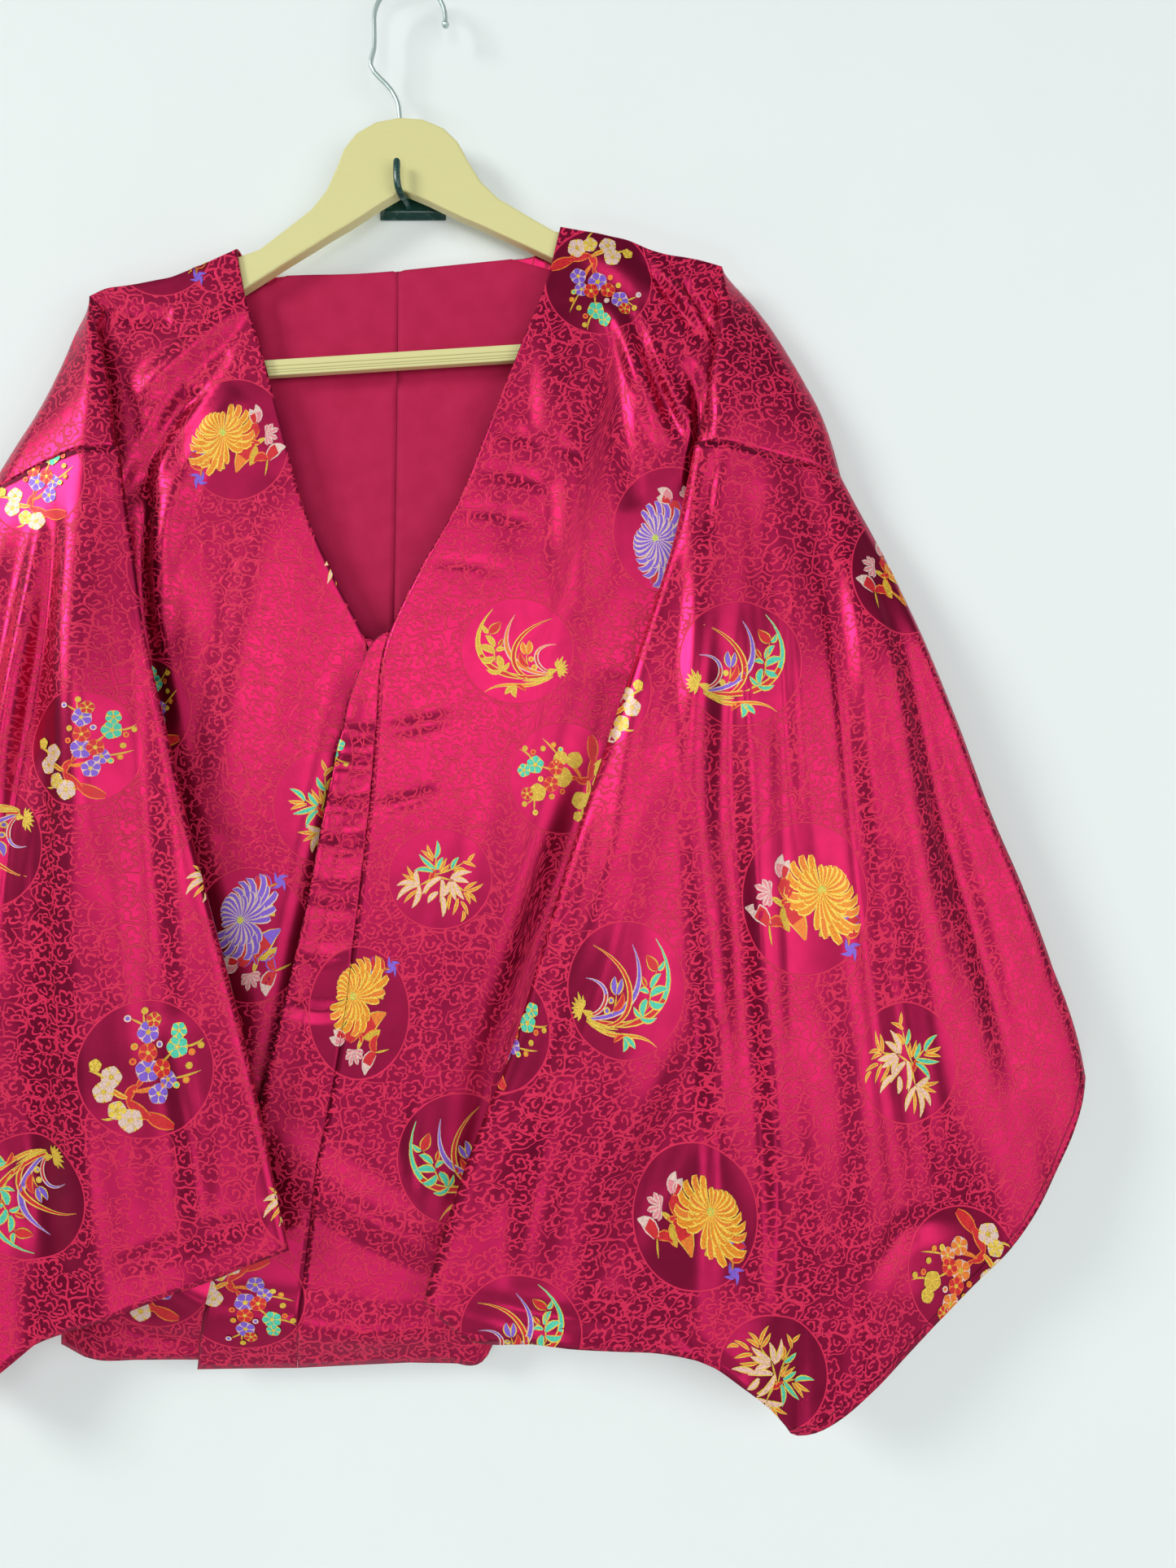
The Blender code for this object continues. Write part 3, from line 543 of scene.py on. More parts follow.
# Each row has a crease's width, depth and lean, then the x and z of each of its points.
CREASE_ROWS = {
    "body_right": (
        (28, 4.6, 0.4, 96, -88, 108, -154, 118, -215, 120, -300),
        (15, -4, -0.3, 133, -86, 141, -150, 151, -222),
        (10, 4.4, 0.4, 138, -80, 150, -110, 161, -140, 176, -180),
        (7, -4.6, -0.3, 150, -86, 160, -110, 171, -140, 185, -176),
        (6, 3.8, 0.4, 163, -104, 176, -132, 188, -156, 199, -182),
        (8, -7, 0, 190, -122, 198, -150, 197, -180, 190, -212),
        (4.5, -3.4, 0.2, 158, -50, 172, -68, 186, -88, 199, -108),
        (5.5, 4, 0.4, 165, -49, 180, -68, 194, -86, 209, -106), (5, -4, 0.2, 188, -66, 200, -88, 211, -108),
        (17, 3.4, 0.3, 118, -40, 146, -56, 168, -78), (16, -1.4, 0.4, 88, -90, 78, -170, 70, -250),
        (5, -1.4, 0.3, 62, -168, 92, -176, 122, -188), (5, -1.2, -0.3, 48, -196, 76, -199, 104, -210),
        (4.5, -1, 0.3, 36, -222, 60, -224, 88, -232), (4.5, -0.9, 0.3, 18, -256, 44, -258, 66, -266),
        (26, 2, 0.3, 60, -400, 44, -480, 20, -560), (14, 2.2, 0.3, 20, -600, 8, -650, 14, -700),
        (6, -2, 0.3, -16, -372, 8, -368, 34, -362), (5, -2, 0.3, -22, -424, 0, -420, 22, -412),
    ),
    "body_left": (
        (13, 4.4, -0.4, -112, -78, -150, -112, -188, -146),
        (12, -8, 0.3, -124, -112, -158, -158, -194, -222), (9, -2, 0.3, -104, -90, -130, -120, -160, -158),
        (15, 4, -0.5, -116, -140, -148, -188, -166, -240, -170, -310),
        (13, -8, -0.4, -178, -190, -183, -250, -178, -310, -166, -370),
        (7, -5, 0, -208, -80, -196, -86, -178, -91, -160, -90),
        (28, 2.4, 0.3, -86, -200, -110, -330, -128, -440),
        (22, -8, -0.4, -28, -312, -43, -378, -60, -464, -80, -552, -106, -690),
        (24, -2.4, 0.3, -180, -420, -150, -520, -120, -640),
        (16, 2.8, 0.4, -190, -700, -160, -740, -110, -770),
        (12, -2.6, 0.4, -230, -760, -180, -782, -100, -788),
    ),
    "band_right": (
        (13, 3.6, 0.4, -29, -320, -43, -388, -64, -491, -92, -619, -126, -750),
        (4.5, -3, 0.3, -16, -372, -28, -374, -48, -371), (4, 2, 0.3, -19, -384, -30, -387, -50, -384),
        (4.5, -3, 0.3, -20, -396, -34, -397, -52, -393), (4.5, 2.2, 0, -22, -411, -36, -414, -56, -410),
        (4.5, -3.2, 0.3, -24, -424, -38, -426, -58, -421), (4.5, 2.2, 0, -25, -438, -40, -441, -60, -437),
        (4.5, -2.6, 0.3, -27, -452, -42, -453, -64, -449), (5, 1.8, 0, -29, -470, -46, -472, -68, -468),
        (5, -2.2, 0.3, -33, -492, -50, -494, -72, -489), (6, 1.6, 0.3, -36, -520, -54, -524, -78, -518),
        (6, -2.2, 0.3, -40, -560, -60, -563, -86, -556),
    ),
    "sleeve_right": (
        (17, 4.6, 0.4, 196, -190, 198, -300, 196, -420, 206, -540, 212, -660, 208, -790),
        (15, -5.5, -0.4, 214, -330, 216, -430, 222, -520, 232, -640, 236, -760),
        (16, 4, 0.5, 252, -190, 262, -300, 268, -400, 276, -480),
        (17, -6, -0.4, 272, -190, 284, -290, 292, -400, 304, -520, 322, -660, 330, -740),
        (22, 5, 0.3, 296, -250, 314, -380, 336, -480, 356, -600, 372, -680),
        (15, -4.4, -0.3, 330, -320, 352, -420, 384, -530, 404, -610),
        (14, 3, 0.5, 316, -250, 352, -330, 396, -430, 432, -530),
        (14, -3, 0.3, 236, -210, 238, -300, 240, -380),
        (22, 4.4, 0.4, 178, -250, 158, -360, 140, -470, 118, -560, 96, -650),
        (22, -6, 0.4, 204, -560, 182, -620, 158, -680, 140, -740),
        (22, 3.2, 0.4, 110, -600, 92, -680, 84, -740), (22, 3, 0.3, 262, -560, 276, -650, 276, -740),
        (14, -3, -0.3, 150, -450, 110, -560, 70, -640, 44, -700),
        (16, -5, 0, 10, -762, 90, -790, 190, -796), (9, -2.6, 0.3, 176, -758, 198, -784, 226, -796),
        (10, -1.8, 0.3, 40, -745, 90, -755, 150, -760), (14, -2.4, 0.3, 300, -740, 330, -700, 372, -690),
        (7, -2.4, 0.3, 210, -185, 204, -212, 200, -250),
    ),
    "sleeve_left": (
        (14, 5, -0.4, -240, -232, -248, -285, -254, -331, -262, -377, -272, -430, -284, -520),
        (14, -7, 0.4, -229, -226, -233, -285, -238, -331, -244, -377, -252, -430, -262, -530),
        (27, 6, 0.4, -214, -196, -212, -260, -210, -330, -210, -400, -212, -480, -208, -600, -200, -730),
        (22, -4.6, 0, -190, -210, -180, -290, -172, -370, -164, -480, -156, -610),
        (22, 5, -0.4, -266, -216, -284, -320, -290, -440, -286, -560, -280, -690),
        (15, -6, 0.4, -292, -250, -322, -350, -336, -470, -340, -600, -344, -740),
        (24, 4, -0.4, -330, -320, -372, -440, -398, -550, -412, -650),
        (20, -3.6, 0.4, -246, -560, -238, -650, -226, -740),
        (16, 3, 0.4, -150, -560, -134, -640, -128, -710), (10, -2, 0.3, -84, -690, -130, -706, -190, -728),
    ),
    "lining_left": (
        (5, 2, 0.3, -104, -50, -103, -110, -98, -170), (4, -1.2, 0, -97, -50, -96, -84, -92, -120),
        (14, 0.8, 0.3, -80, -70, -78, -160, -70, -260), (14, -0.8, 0.3, -44, -60, -46, -170, -40, -290),
    ),
    "lining_right": (
        (16, 0.8, 0.3, 36, -70, 34, -170, 30, -290), (12, -0.8, 0.3, 66, -60, 62, -130, 52, -200),
    ),
    "overlap": (
        (26, -9, -0.3, 140, -330, 108, -444, 80, -528, 52, -610, 35, -700),
        (30, 5, 0.5, -92, -640, -50, -676, -10, -700, 50, -728),
        (22, 3, 0, -190, -756, -80, -768, -20, -778, 60, -770),
        (46, -13, 0, -220, -818, -60, -822, 30, -814, 100, -800),
    ),
    "behind": (
        (26, 1.6, 0.4, -70, -90, -90, -300, -84, -560, -96, -780),
        (24, -1.4, 0.4, -150, -110, -168, -300, -160, -520, -172, -780),
        (26, 1.6, -0.4, 60, -80, 78, -290, 70, -520, 84, -770),
        (24, -1.4, -0.4, 150, -90, 166, -260, 158, -500, 170, -760),
        (14, 1.2, 0.3, -200, -120, -150, -150, -80, -140), (14, 1.2, 0.3, 200, -100, 150, -128, 80, -118),
        (20, 3, 0.4, 300, -280, 330, -430, 335, -600, 330, -740),
        (16, -3, 0.4, 340, -330, 380, -470, 400, -600),
        (18, -3, 0.4, 270, -230, 290, -400, 280, -600, 285, -780),
        (20, 3, -0.4, -300, -300, -335, -440, -338, -600, -330, -740),
        (16, -3, -0.4, -345, -350, -385, -480, -405, -610),
        (18, -3, 0.4, -270, -240, -292, -400, -284, -600, -290, -760),
    ),
}
CREASES: dict[str, tuple[Crease, ...]] = {
    name: tuple(Crease(pairs(points), width, depth, lean) for width, depth, lean, *points in rows)
    for name, rows in CREASE_ROWS.items()
}


@dataclass
class ClothGrid:
    """Rows of points over a stretch of cloth, and their places on the flat cloth."""

    points: Array
    flat: Array


class BodyHalf:
    """Front and back of one side in one piece over the shoulder, with its dropped cap."""

    def __init__(self, side: SideShape) -> None:
        """Work out the rows of one side.

        Args:
            side: the lines that shape it.
        """
        self.side = side
        top = side.side.rows[0][1]
        bottom = side.cap_seam.rows[0][1] * 0.6 + side.cap_seam.rows[-1][1] * 0.4
        self.shoulder = [top + (bottom - top) * (k / SHOULDER_ROWS) ** 1.15 for k in range(SHOULDER_ROWS + 1)]
        self.heights = [self.side_height(k) for k in range(SHOULDER_ROWS + LOWER_ROWS + 1)]

    def side_height(self, row: int) -> float:
        """Height of the side at one of the rows.

        Args:
            row: number of the row, from the shoulder.

        Returns:
            The height.
        """
        if row < len(self.shoulder):
            return self.shoulder[row]
        last = self.shoulder[-1]
        return last + (self.side.hem_side - last) * (row - SHOULDER_ROWS) / LOWER_ROWS

    def ridge_lift(self, across: float) -> float:
        """How far the shoulder's top line stands above the straight line between its ends.

        Args:
            across: share of the way along the shoulder.

        Returns:
            The height above that line.
        """
        rows = self.side.ridge.rows
        first, last = rows[0], rows[-1]
        x = first[0] + (last[0] - first[0]) * across
        height = np.interp(abs(x), [abs(row[0]) for row in rows], [row[1] for row in rows])
        return float(height) - (first[1] + (last[1] - first[1]) * across)

    def side_curl(self, across: float, z_side: float) -> float:
        """Turn of the front towards the back at the side seam, below the underarm.

        Args:
            across: share of the way across.
            z_side: height of the row at the side.

        Returns:
            How far back the front is moved.
        """
        closing = smooth((self.side.underarm + 40 - z_side) / 80.0)
        reach = smooth((across - 0.86) / 0.14)
        middle = (self.side.front_y + BACK_Y) / 2
        return closing * reach * (middle - (CLOTH + SEAM_GAP) / 2 - self.side.front_y)

    def front_point(self, across: float, z_inner: float, z_side: float) -> Vector:
        """Point of the front at a share of the way across its row.

        Args:
            across: share of the way across.
            z_inner: height of the row at the front edge.
            z_side: its height at the side.

        Returns:
            The point.
        """
        side = self.side
        below = self.heights[0] - z_side
        z = z_inner + (z_side - z_inner) * across + self.ridge_lift(across) * math.exp(-below / RIDGE_FADE)
        x = side.front_edge.x_at(z_inner) * (1 - across) + side.side.x_at(z_side) * across
        top_y = HANGER_Y - RIDGE_RADIUS
        y = top_y + (side.front_y - top_y) * smooth(below / SHOULDER_FALL)
        for centre, high, low, depth in side.front_folds:
            if low < z < high:
                middle = (z - high) / (low - high)
                reach = round_bump(across, centre + 0.10 * (middle - 0.5), 0.11)
                y -= depth * math.sin(math.pi * middle) * reach
        y += self.side_curl(across, z_side)
        return Vector((x, y, z))

    def back_inner(self, row: int) -> Vector:
        """Inner end of a back row: along the neckline, then down the centre back.

        Args:
            row: number of the row.

        Returns:
            The end in the front view.
        """
        if row <= SHOULDER_ROWS:
            return self.side.back_edge.part(0, NECK_STEPS + 1).at((row / SHOULDER_ROWS) ** 0.9)
        place = self.side.back_edge.part(NECK_STEPS, None).at((row - SHOULDER_ROWS) / LOWER_ROWS)
        return place + Vector((self.side.sign * SEAM_GAP / 2, 0))

    def back_point(self, across: float, inner: Vector, z_side: float) -> Vector:
        """Point of the back at a share of the way across its row.

        Args:
            across: share of the way across.
            inner: the row's inner end.
            z_side: its height at the side.

        Returns:
            The point.
        """
        below = self.heights[0] - z_side
        z = inner[1] + (z_side - inner[1]) * across + self.ridge_lift(across) * math.exp(-below / RIDGE_FADE)
        x = inner[0] * (1 - across) + self.side.side.x_at(z_side) * across
        top_y = HANGER_Y + RIDGE_RADIUS
        y = top_y + (BACK_Y - top_y) * smooth(below / SHOULDER_FALL)
        return Vector((x, y - self.side_curl(across, z_side) * 0.9, z))

    def turn_hem(self, row: list[Vector], progress: float) -> list[Vector]:
        """Raise the end of a low row where the hem turns up towards the side.

        Args:
            row: its points.
            progress: share of the way down that it lies.

        Returns:
            The same points.
        """
        x_from, reach, rise = self.side.hem_turn
        for point in row:
            turned = smooth((point.x - x_from) * self.side.sign / reach)
            point.z += rise * turned * smooth((progress - 0.88) / 0.12)
        return row

    def cap_chain(self, share: float, start: Vector, end: Vector) -> list[Vector]:
        """Section of the dropped shoulder, from the front's side to the back's.

        Args:
            share: how far down the cap the section lies.
            start: the front's side there.
            end: the back's side there.

        Returns:
            The stations of the section.
        """
        side = self.side
        sign = side.sign
        opened = math.sin(share * math.pi / 2) ** 0.6
        tucked = smooth((share - 0.14) / 0.4)
        fold = side.cap_fold.at(share)
        outline = side.cap_outline.at(share)
        seam_first, seam_last = Vector(side.cap_seam.rows[0]), Vector(side.cap_seam.rows[-1])
        fold_y = -27 - 17 * opened
        outer_y = -19 - 6 * opened
        back_y = -11 - opened
        mixed = (start.x * 0.45 + fold.x * 0.55, start.z * 0.45 + fold.y * 0.55)
        stations = [
            start.copy(),
            Vector((start.x + sign * 3.0 * tucked, start.y - 4.0 * opened, start.z)),
            Vector((start.x - sign * 3.5 * tucked, start.y - 8.0 * opened, start.z)),
            Vector((mixed[0], fold_y + 3.5 * opened, mixed[1])),
        ]
        for across in FRONT_SHARES:
            place = fold * (1 - across) + outline * across
            bow = side.cap_seam.at(across) - seam_first * (1 - across) - seam_last * across
            place += bow * share * share
            lens = math.sqrt(min(1.0, min(across, 1 - across) / 0.2))
            depth = fold_y + (outer_y - fold_y) * across - (10 - 2 * across) * opened * lens
            stations.append(Vector((place.x, depth, place.y)))
        for across in BACK_SHARES:
            place = outline + (Vector((end.x, end.z)) - outline) * across
            depth = outer_y + (back_y - outer_y) * math.sqrt(min(1.0, across / 0.22))
            depth += (end.y - back_y) * smooth((across - 0.5) / 0.5)
            stations.append(Vector((place.x, depth, place.y)))
        return stations

    @staticmethod
    def over_ridge(edge: Array, angles: Array) -> Array:
        """Points over the shoulder's round top, at angles from the top edge of the front.

        Args:
            edge: points of that edge.
            angles: the angles.

        Returns:
            A row of points for each angle.
        """
        ridge = np.empty((len(angles),) + edge.shape)
        ridge[:, :, 0] = edge[:, 0]
        ridge[:, :, 1] = HANGER_Y - RIDGE_RADIUS * np.cos(angles)[:, None]
        ridge[:, :, 2] = edge[:, 2] + RIDGE_RISE * RIDGE_RADIUS * np.sin(angles)[:, None]
        return ridge

    def progress(self, z_side: float) -> float:
        """Share of the way down the side at a height."""
        return (z_side - self.heights[0]) / (self.side.hem_side - self.heights[0])

    @cached_property
    def front(self) -> Array:
        """Coarse rows of the front."""
        side = self.side
        first, last = side.front_edge.rows[0][1], side.front_edge.rows[-1][1]
        rows = []
        for z_side in self.heights:
            z_inner = first + (last - first) * self.progress(z_side)
            row = [self.front_point(u, z_inner, z_side) for u in PANEL_SHARES]
            rows.append(self.turn_hem(row, self.progress(z_side)))
        return np.array(rows)

    @cached_property
    def back(self) -> Array:
        """Coarse rows of the back."""
        rows = []
        for k, z_side in enumerate(self.heights):
            row = [self.back_point(u, self.back_inner(k), z_side) for u in PANEL_SHARES]
            rows.append(self.turn_hem(row, self.progress(z_side)))
        return np.array(rows)

    @cached_property
    def cap(self) -> Array:
        """Coarse sections of the dropped shoulder; the first follows the ridge's end."""
        turned = len(FRONT_SHARES) + len(BACK_SHARES) - 1
        angles = math.pi * np.clip(np.arange(-len(UNDER_SHARES), turned + 1), 0, None) / turned
        rows = [[Vector(point) for point in self.over_ridge(self.front[0][-1:], angles)[:, 0]]]
        for k in range(1, SHOULDER_ROWS + 1):
            ends = Vector(self.front[k][-1]), Vector(self.back[k][-1])
            rows.append(self.cap_chain(k / SHOULDER_ROWS, *ends))
        return np.array(rows)

    @cached_property
    def row_knots(self) -> Array:
        """Running length of the rows, the same for front, back and cap."""
        return mean_knots(self.front, 0)

    @cached_property
    def row_targets(self) -> tuple[Array, Array]:
        """Fine places of the rows, down to the arm seam and from there to the hem."""
        knots = self.row_knots
        upper = np.linspace(0, knots[SHOULDER_ROWS], max(2, round(knots[SHOULDER_ROWS] / MESH_STEP)))
        rest = knots[-1] - knots[SHOULDER_ROWS]
        lower = np.linspace(knots[SHOULDER_ROWS], knots[-1], max(2, round(rest / MESH_STEP)))[1:]
        return upper, lower

    def fine(self, coarse: Array) -> Array:
        """Fine points of a coarse panel.

        Args:
            coarse: coarse rows.

        Returns:
            Fine rows.
        """
        targets = np.concatenate(self.row_targets)
        rows = spline(coarse, self.row_knots, targets)
        columns = np.linspace(0, 1, round(PANEL_WIDTH / MESH_STEP))
        fine = spline_across(rows, np.array(PANEL_SHARES), columns)
        if coarse is self.back:
            fine = with_corner(fine, coarse[:, 0], (self.row_knots, targets), SHOULDER_ROWS, columns * 6)
        return fine

    def grids(self) -> list[ClothGrid]:
        """The panel over the shoulder, and the cap beside it, as fine grids.

        Returns:
            The two grids.
        """
        front, back = self.fine(self.front), self.fine(self.back)
        upper = self.row_targets[0]
        stations = mean_knots(self.cap, 1)
        targets = np.linspace(0, stations[-1], round(stations[-1] / 3.0))
        cap = spline_across(spline(self.cap, self.row_knots[:SHOULDER_ROWS + 1], upper), stations, targets)
        steps = np.interp(targets, stations, np.arange(len(stations)))
        skipped = len(UNDER_SHARES)
        angles = math.pi * np.clip(steps - skipped, 0, None) / (len(stations) - 1 - skipped)
        ridge = self.over_ridge(front[0], angles)
        ridge[-1] = back[0]
        cap[0] = ridge[:, -1]
        cap[:, 0] = front[:len(upper), -1]
        cap[:, -1] = back[:len(upper), -1]
        panel = np.concatenate([front[::-1], ridge[1:-1], back])
        return [flat_grid(panel), flat_grid(cap)]

    def arm_seam(self) -> Array:
        """Coarse lower edge of the cap, which the sleeve starts from."""
        return self.cap[-1]


def flat_grid(points: Array) -> ClothGrid:
    """Grid with its points' places on the flat cloth, unrolled from the front view.

    Args:
        points: rows of points, in millimetres.

    Returns:
        The grid.
    """
    rows, columns = points.shape[:2]
    across = np.linalg.norm(np.diff(points[:, :, :2], axis=1), axis=2).cumsum(axis=1)
    across = np.concatenate([np.zeros((rows, 1)), across], axis=1)
    down = np.linalg.norm(np.diff(points[:, :, 1:], axis=0), axis=2).cumsum(axis=0)
    down = np.concatenate([np.zeros((1, columns)), down], axis=0)
    half = columns // 3
    sign = 1 if points[0, half, 0] >= points[0, 0, 0] else -1
    middle = points[:, half, 0] - sign * across[:, half]
    flat = np.stack([sign * across + middle[:, None], points[0, :, 2] - down], axis=2)
    return ClothGrid(points, flat * MM)


class Sleeve:
    """Sleeve as one sheet round its fold and its top line, from the arm seam to the cuff."""

    def __init__(self, side: SideShape, arm_seam: Array) -> None:
        """Keep the side and the edge that the sleeve hangs from.

        Args:
            side: the lines that shape it.
            arm_seam: the cap's lower edge.
        """
        self.side = side
        stations = np.arange(len(arm_seam))
        tip = len(UNDER_SHARES) + FRONT_SHARES.index(TIP_SHARE)
        halves = np.arange(0, stations[-1] + 0.1, 0.5)
        self.steps = np.unique(np.concatenate([halves, [tip - 0.2, tip + 0.2]]))
        self.arm_seam = spline(arm_seam, stations, self.steps) + np.array([0, 0, -ARM_SEAM_GAP])
        self.arm_seam[0] += np.array([side.sign * ARM_CLEAR, -ARM_CLEAR, 0])
        self.arm_seam[-1] += np.array([side.sign * ARM_CLEAR, 0, 0])

    def place(self, down: float, across: float) -> Vector:
        """Place in the front view: a patch between the sleeve's four edges.

        Args:
            down: share of the way to the cuff.
            across: share of the way from fold to top line.

        Returns:
            The place.
        """
        side = self.side
        if across <= TIP_SHARE:
            bottom = side.sleeve_bottom.at(across / TIP_SHARE)
        else:
            bottom = side.cuff.at((across - TIP_SHARE) / (1 - TIP_SHARE))
        corners = (
            Vector(side.cap_seam.rows[0]) * (1 - down) * (1 - across)
            + Vector(side.cap_seam.rows[-1]) * (1 - down) * across
            + Vector(side.sleeve_bottom.rows[0]) * down * (1 - across)
            + Vector(side.cuff.rows[-1]) * down * across
        )
        edges = side.sleeve_fold.at(down) * (1 - across) + side.sleeve_outline.at(down) * across
        return edges + side.cap_seam.at(across) * (1 - down) + bottom * down - corners

    @staticmethod
    def half_gap(down: float, across: float) -> float:
        """Half the space between the front and back of the sleeve.

        Args:
            down: share of the way to the cuff.
            across: share of the way across.

        Returns:
            The space.
        """
        gap = 10.5 * math.sqrt(min(1.0, min(across, 1 - across) / 0.16))
        if across > TIP_SHARE:
            return gap
        closing = smooth((down - 0.70) / 0.30)
        shut = SHUT_HALF if across > 0 else 0.0
        to_tip = smooth((across - TIP_SHARE + 0.12) / 0.12)
        return gap * (1 - closing) + (shut * (1 - to_tip) + 0.55 * gap * to_tip) * closing

    def middle(self, down: float, across: float, kept: float) -> float:
        """Depth of the middle of the sleeve, with a share kept of its soft folds.

        Args:
            down: share of the way to the cuff.
            across: share of the way across.
            kept: the share that is kept.

        Returns:
            The depth.
        """
        y = -47 - 5 * smooth(down * 1.6) + 6 * across
        for centre, width, depth in self.side.sleeve_folds:
            wander = 0.03 * math.sin(5.0 * down + 9.0 * centre)
            reach = round_bump(across, centre + wander, width)
            y -= depth * reach * smooth(down / 0.25) * (0.55 + 0.45 * down) * kept
        return y

    def station(self, down: float, across: float, layer: int) -> Vector:
        """Point of the sleeve: layer is -1 on the front and 1 on the back.

        Args:
            down: share of the way to the cuff.
            across: share of the way across.
            layer: which layer.

        Returns:
            The point.
        """
        place = self.place(down, across)
        kept = BACK_FOLD_SHARE if layer > 0 else 1.0
        depth = self.middle(down, across, kept) + layer * self.half_gap(down, across)
        return Vector((place.x, depth, place.y))

    def inner_share(self, down: float) -> float:
        """Share across at which the inner seam lies, just outside the body's side.

        Args:
            down: share of the way to the cuff.

        Returns:
            The share across.
        """
        low, high = 0.05, 0.95
        side = self.side
        for _ in range(18):
            middle = (low + high) / 2
            place = self.place(down, middle)
            wanted = side.side.x_at(max(place.y, side.hem_side)) + side.sign * INNER_OUTSIDE
            if (place.x - wanted) * side.sign < 0:
                low = middle
            else:
                high = middle
        return (low + high) / 2

    def chain(self, down: float) -> Array:
        """Section: inner seam, fold, front, top line, back, inner seam again.

        Args:
            down: share of the way to the cuff.

        Returns:
            The section's points.
        """
        side = self.side
        inner = self.inner_share(down)
        first, last = len(UNDER_SHARES), len(UNDER_SHARES) + len(FRONT_SHARES) - 1
        chain = []
        for step in self.steps:
            if step < first:
                share = np.interp(step, range(first + 1), UNDER_SHARES + (0.0,))
                chain.append(self.station(down, inner * share, 1))
            elif step <= last:
                share = np.interp(step - first, range(len(FRONT_SHARES)), FRONT_SHARES)
                chain.append(self.station(down, share, -1))
            else:
                share = np.interp(step - last, range(len(BACK_SHARES) + 1), (0.0,) + BACK_SHARES)
                chain.append(self.station(down, 1 - (1 - inner) * share, 1))
        chain[0].x -= side.sign * SEAM_GAP / 2
        chain[-1].x += side.sign * SEAM_GAP / 2
        fold_move = side.sleeve_fold.at(down) - side.sleeve_fold.at(0)
        top_move = side.sleeve_outline.at(down) - side.sleeve_outline.at(0)
        settle = smooth(down / 0.30)
        fronts = [k for k, step in enumerate(self.steps) if first <= step <= last]
        for k, point in enumerate(chain):
            if k in fronts:
                point.y = self.arm_seam[k][1] * (1 - settle) + point.y * settle
                continue
            move = fold_move.y if k < fronts[0] else top_move.y
            kept = Vector(self.arm_seam[k]) + Vector((0, 0, move))
            place = smooth(down / (0.40 if k in (0, len(chain) - 1) else 0.30))
            chain[k] = kept.lerp(point, place)
        return np.array(chain)

    def grid(self) -> ClothGrid:
        """The whole sleeve as one fine grid.

        Returns:
            The grid.
        """
        rows = [self.arm_seam] + [self.chain(row / SLEEVE_ROWS) for row in range(1, SLEEVE_ROWS + 1)]
        coarse = np.array(rows)
        row_knots = mean_knots(coarse, 0)
        columns = mean_knots(coarse, 1)
        fine = spline(coarse, row_knots, np.linspace(0, row_knots[-1], round(row_knots[-1] / MESH_STEP)))
        targets = np.linspace(0, columns[-1], round(columns[-1] / (MESH_STEP * 0.8)))
        return flat_grid(spline_across(fine, columns, targets))


def front_band(body: BodyHalf) -> ClothGrid:
    """Strip down the front edge, from the point of the V to the hem, beside its seam.

    Args:
        body: the half whose front edge it follows.

    Returns:
        The strip as a fine grid.
    """
    side = body.side
    fine = body.fine(body.front)[:, 0]
    top = side.band_edge.rows[0][1]
    edge = fine[fine[:, 2] < top]
    rows = []
    for row, point in enumerate(edge):
        inner = point + np.array([-side.sign * SEAM_GAP, 0, 0])
        outer = np.array([side.band_edge.x_at(point[2]), side.front_y, point[2]])
        if row == 0:
            outer = inner + np.array([-side.sign * 1.5, 0, 0])
        rows.append([inner + (outer - inner) * t for t in np.linspace(0, 1, 20)])
    return flat_grid(np.array(rows))


def back_lining(body: BodyHalf) -> ClothGrid:
    """Plain cloth inside the back, made from the back's own points and moved in.

    Args:
        body: the half that it lines.

    Returns:
        The lining as a fine grid.
    """
    rows = []
    for row in range(2, 13):
        z_side = body.side_height(row)
        inner = body.back_inner(row)
        points = [body.back_point(LINING_SHARE * k / 6, inner, z_side) for k in range(7)]
        rows.append([point + Vector((0, LINING_Y - BACK_Y, 0)) for point in points])
    coarse = np.array(rows)
    knots, columns = mean_knots(coarse, 0), mean_knots(coarse, 1)
    targets = np.linspace(0, knots[-1], 70)
    shares = np.linspace(0, 1, 36)
    fine = spline_across(spline(coarse, knots, targets), columns, shares * columns[-1])
    return flat_grid(with_corner(fine, coarse[:, 0], (knots, targets), SHOULDER_ROWS - 2, shares * 5))


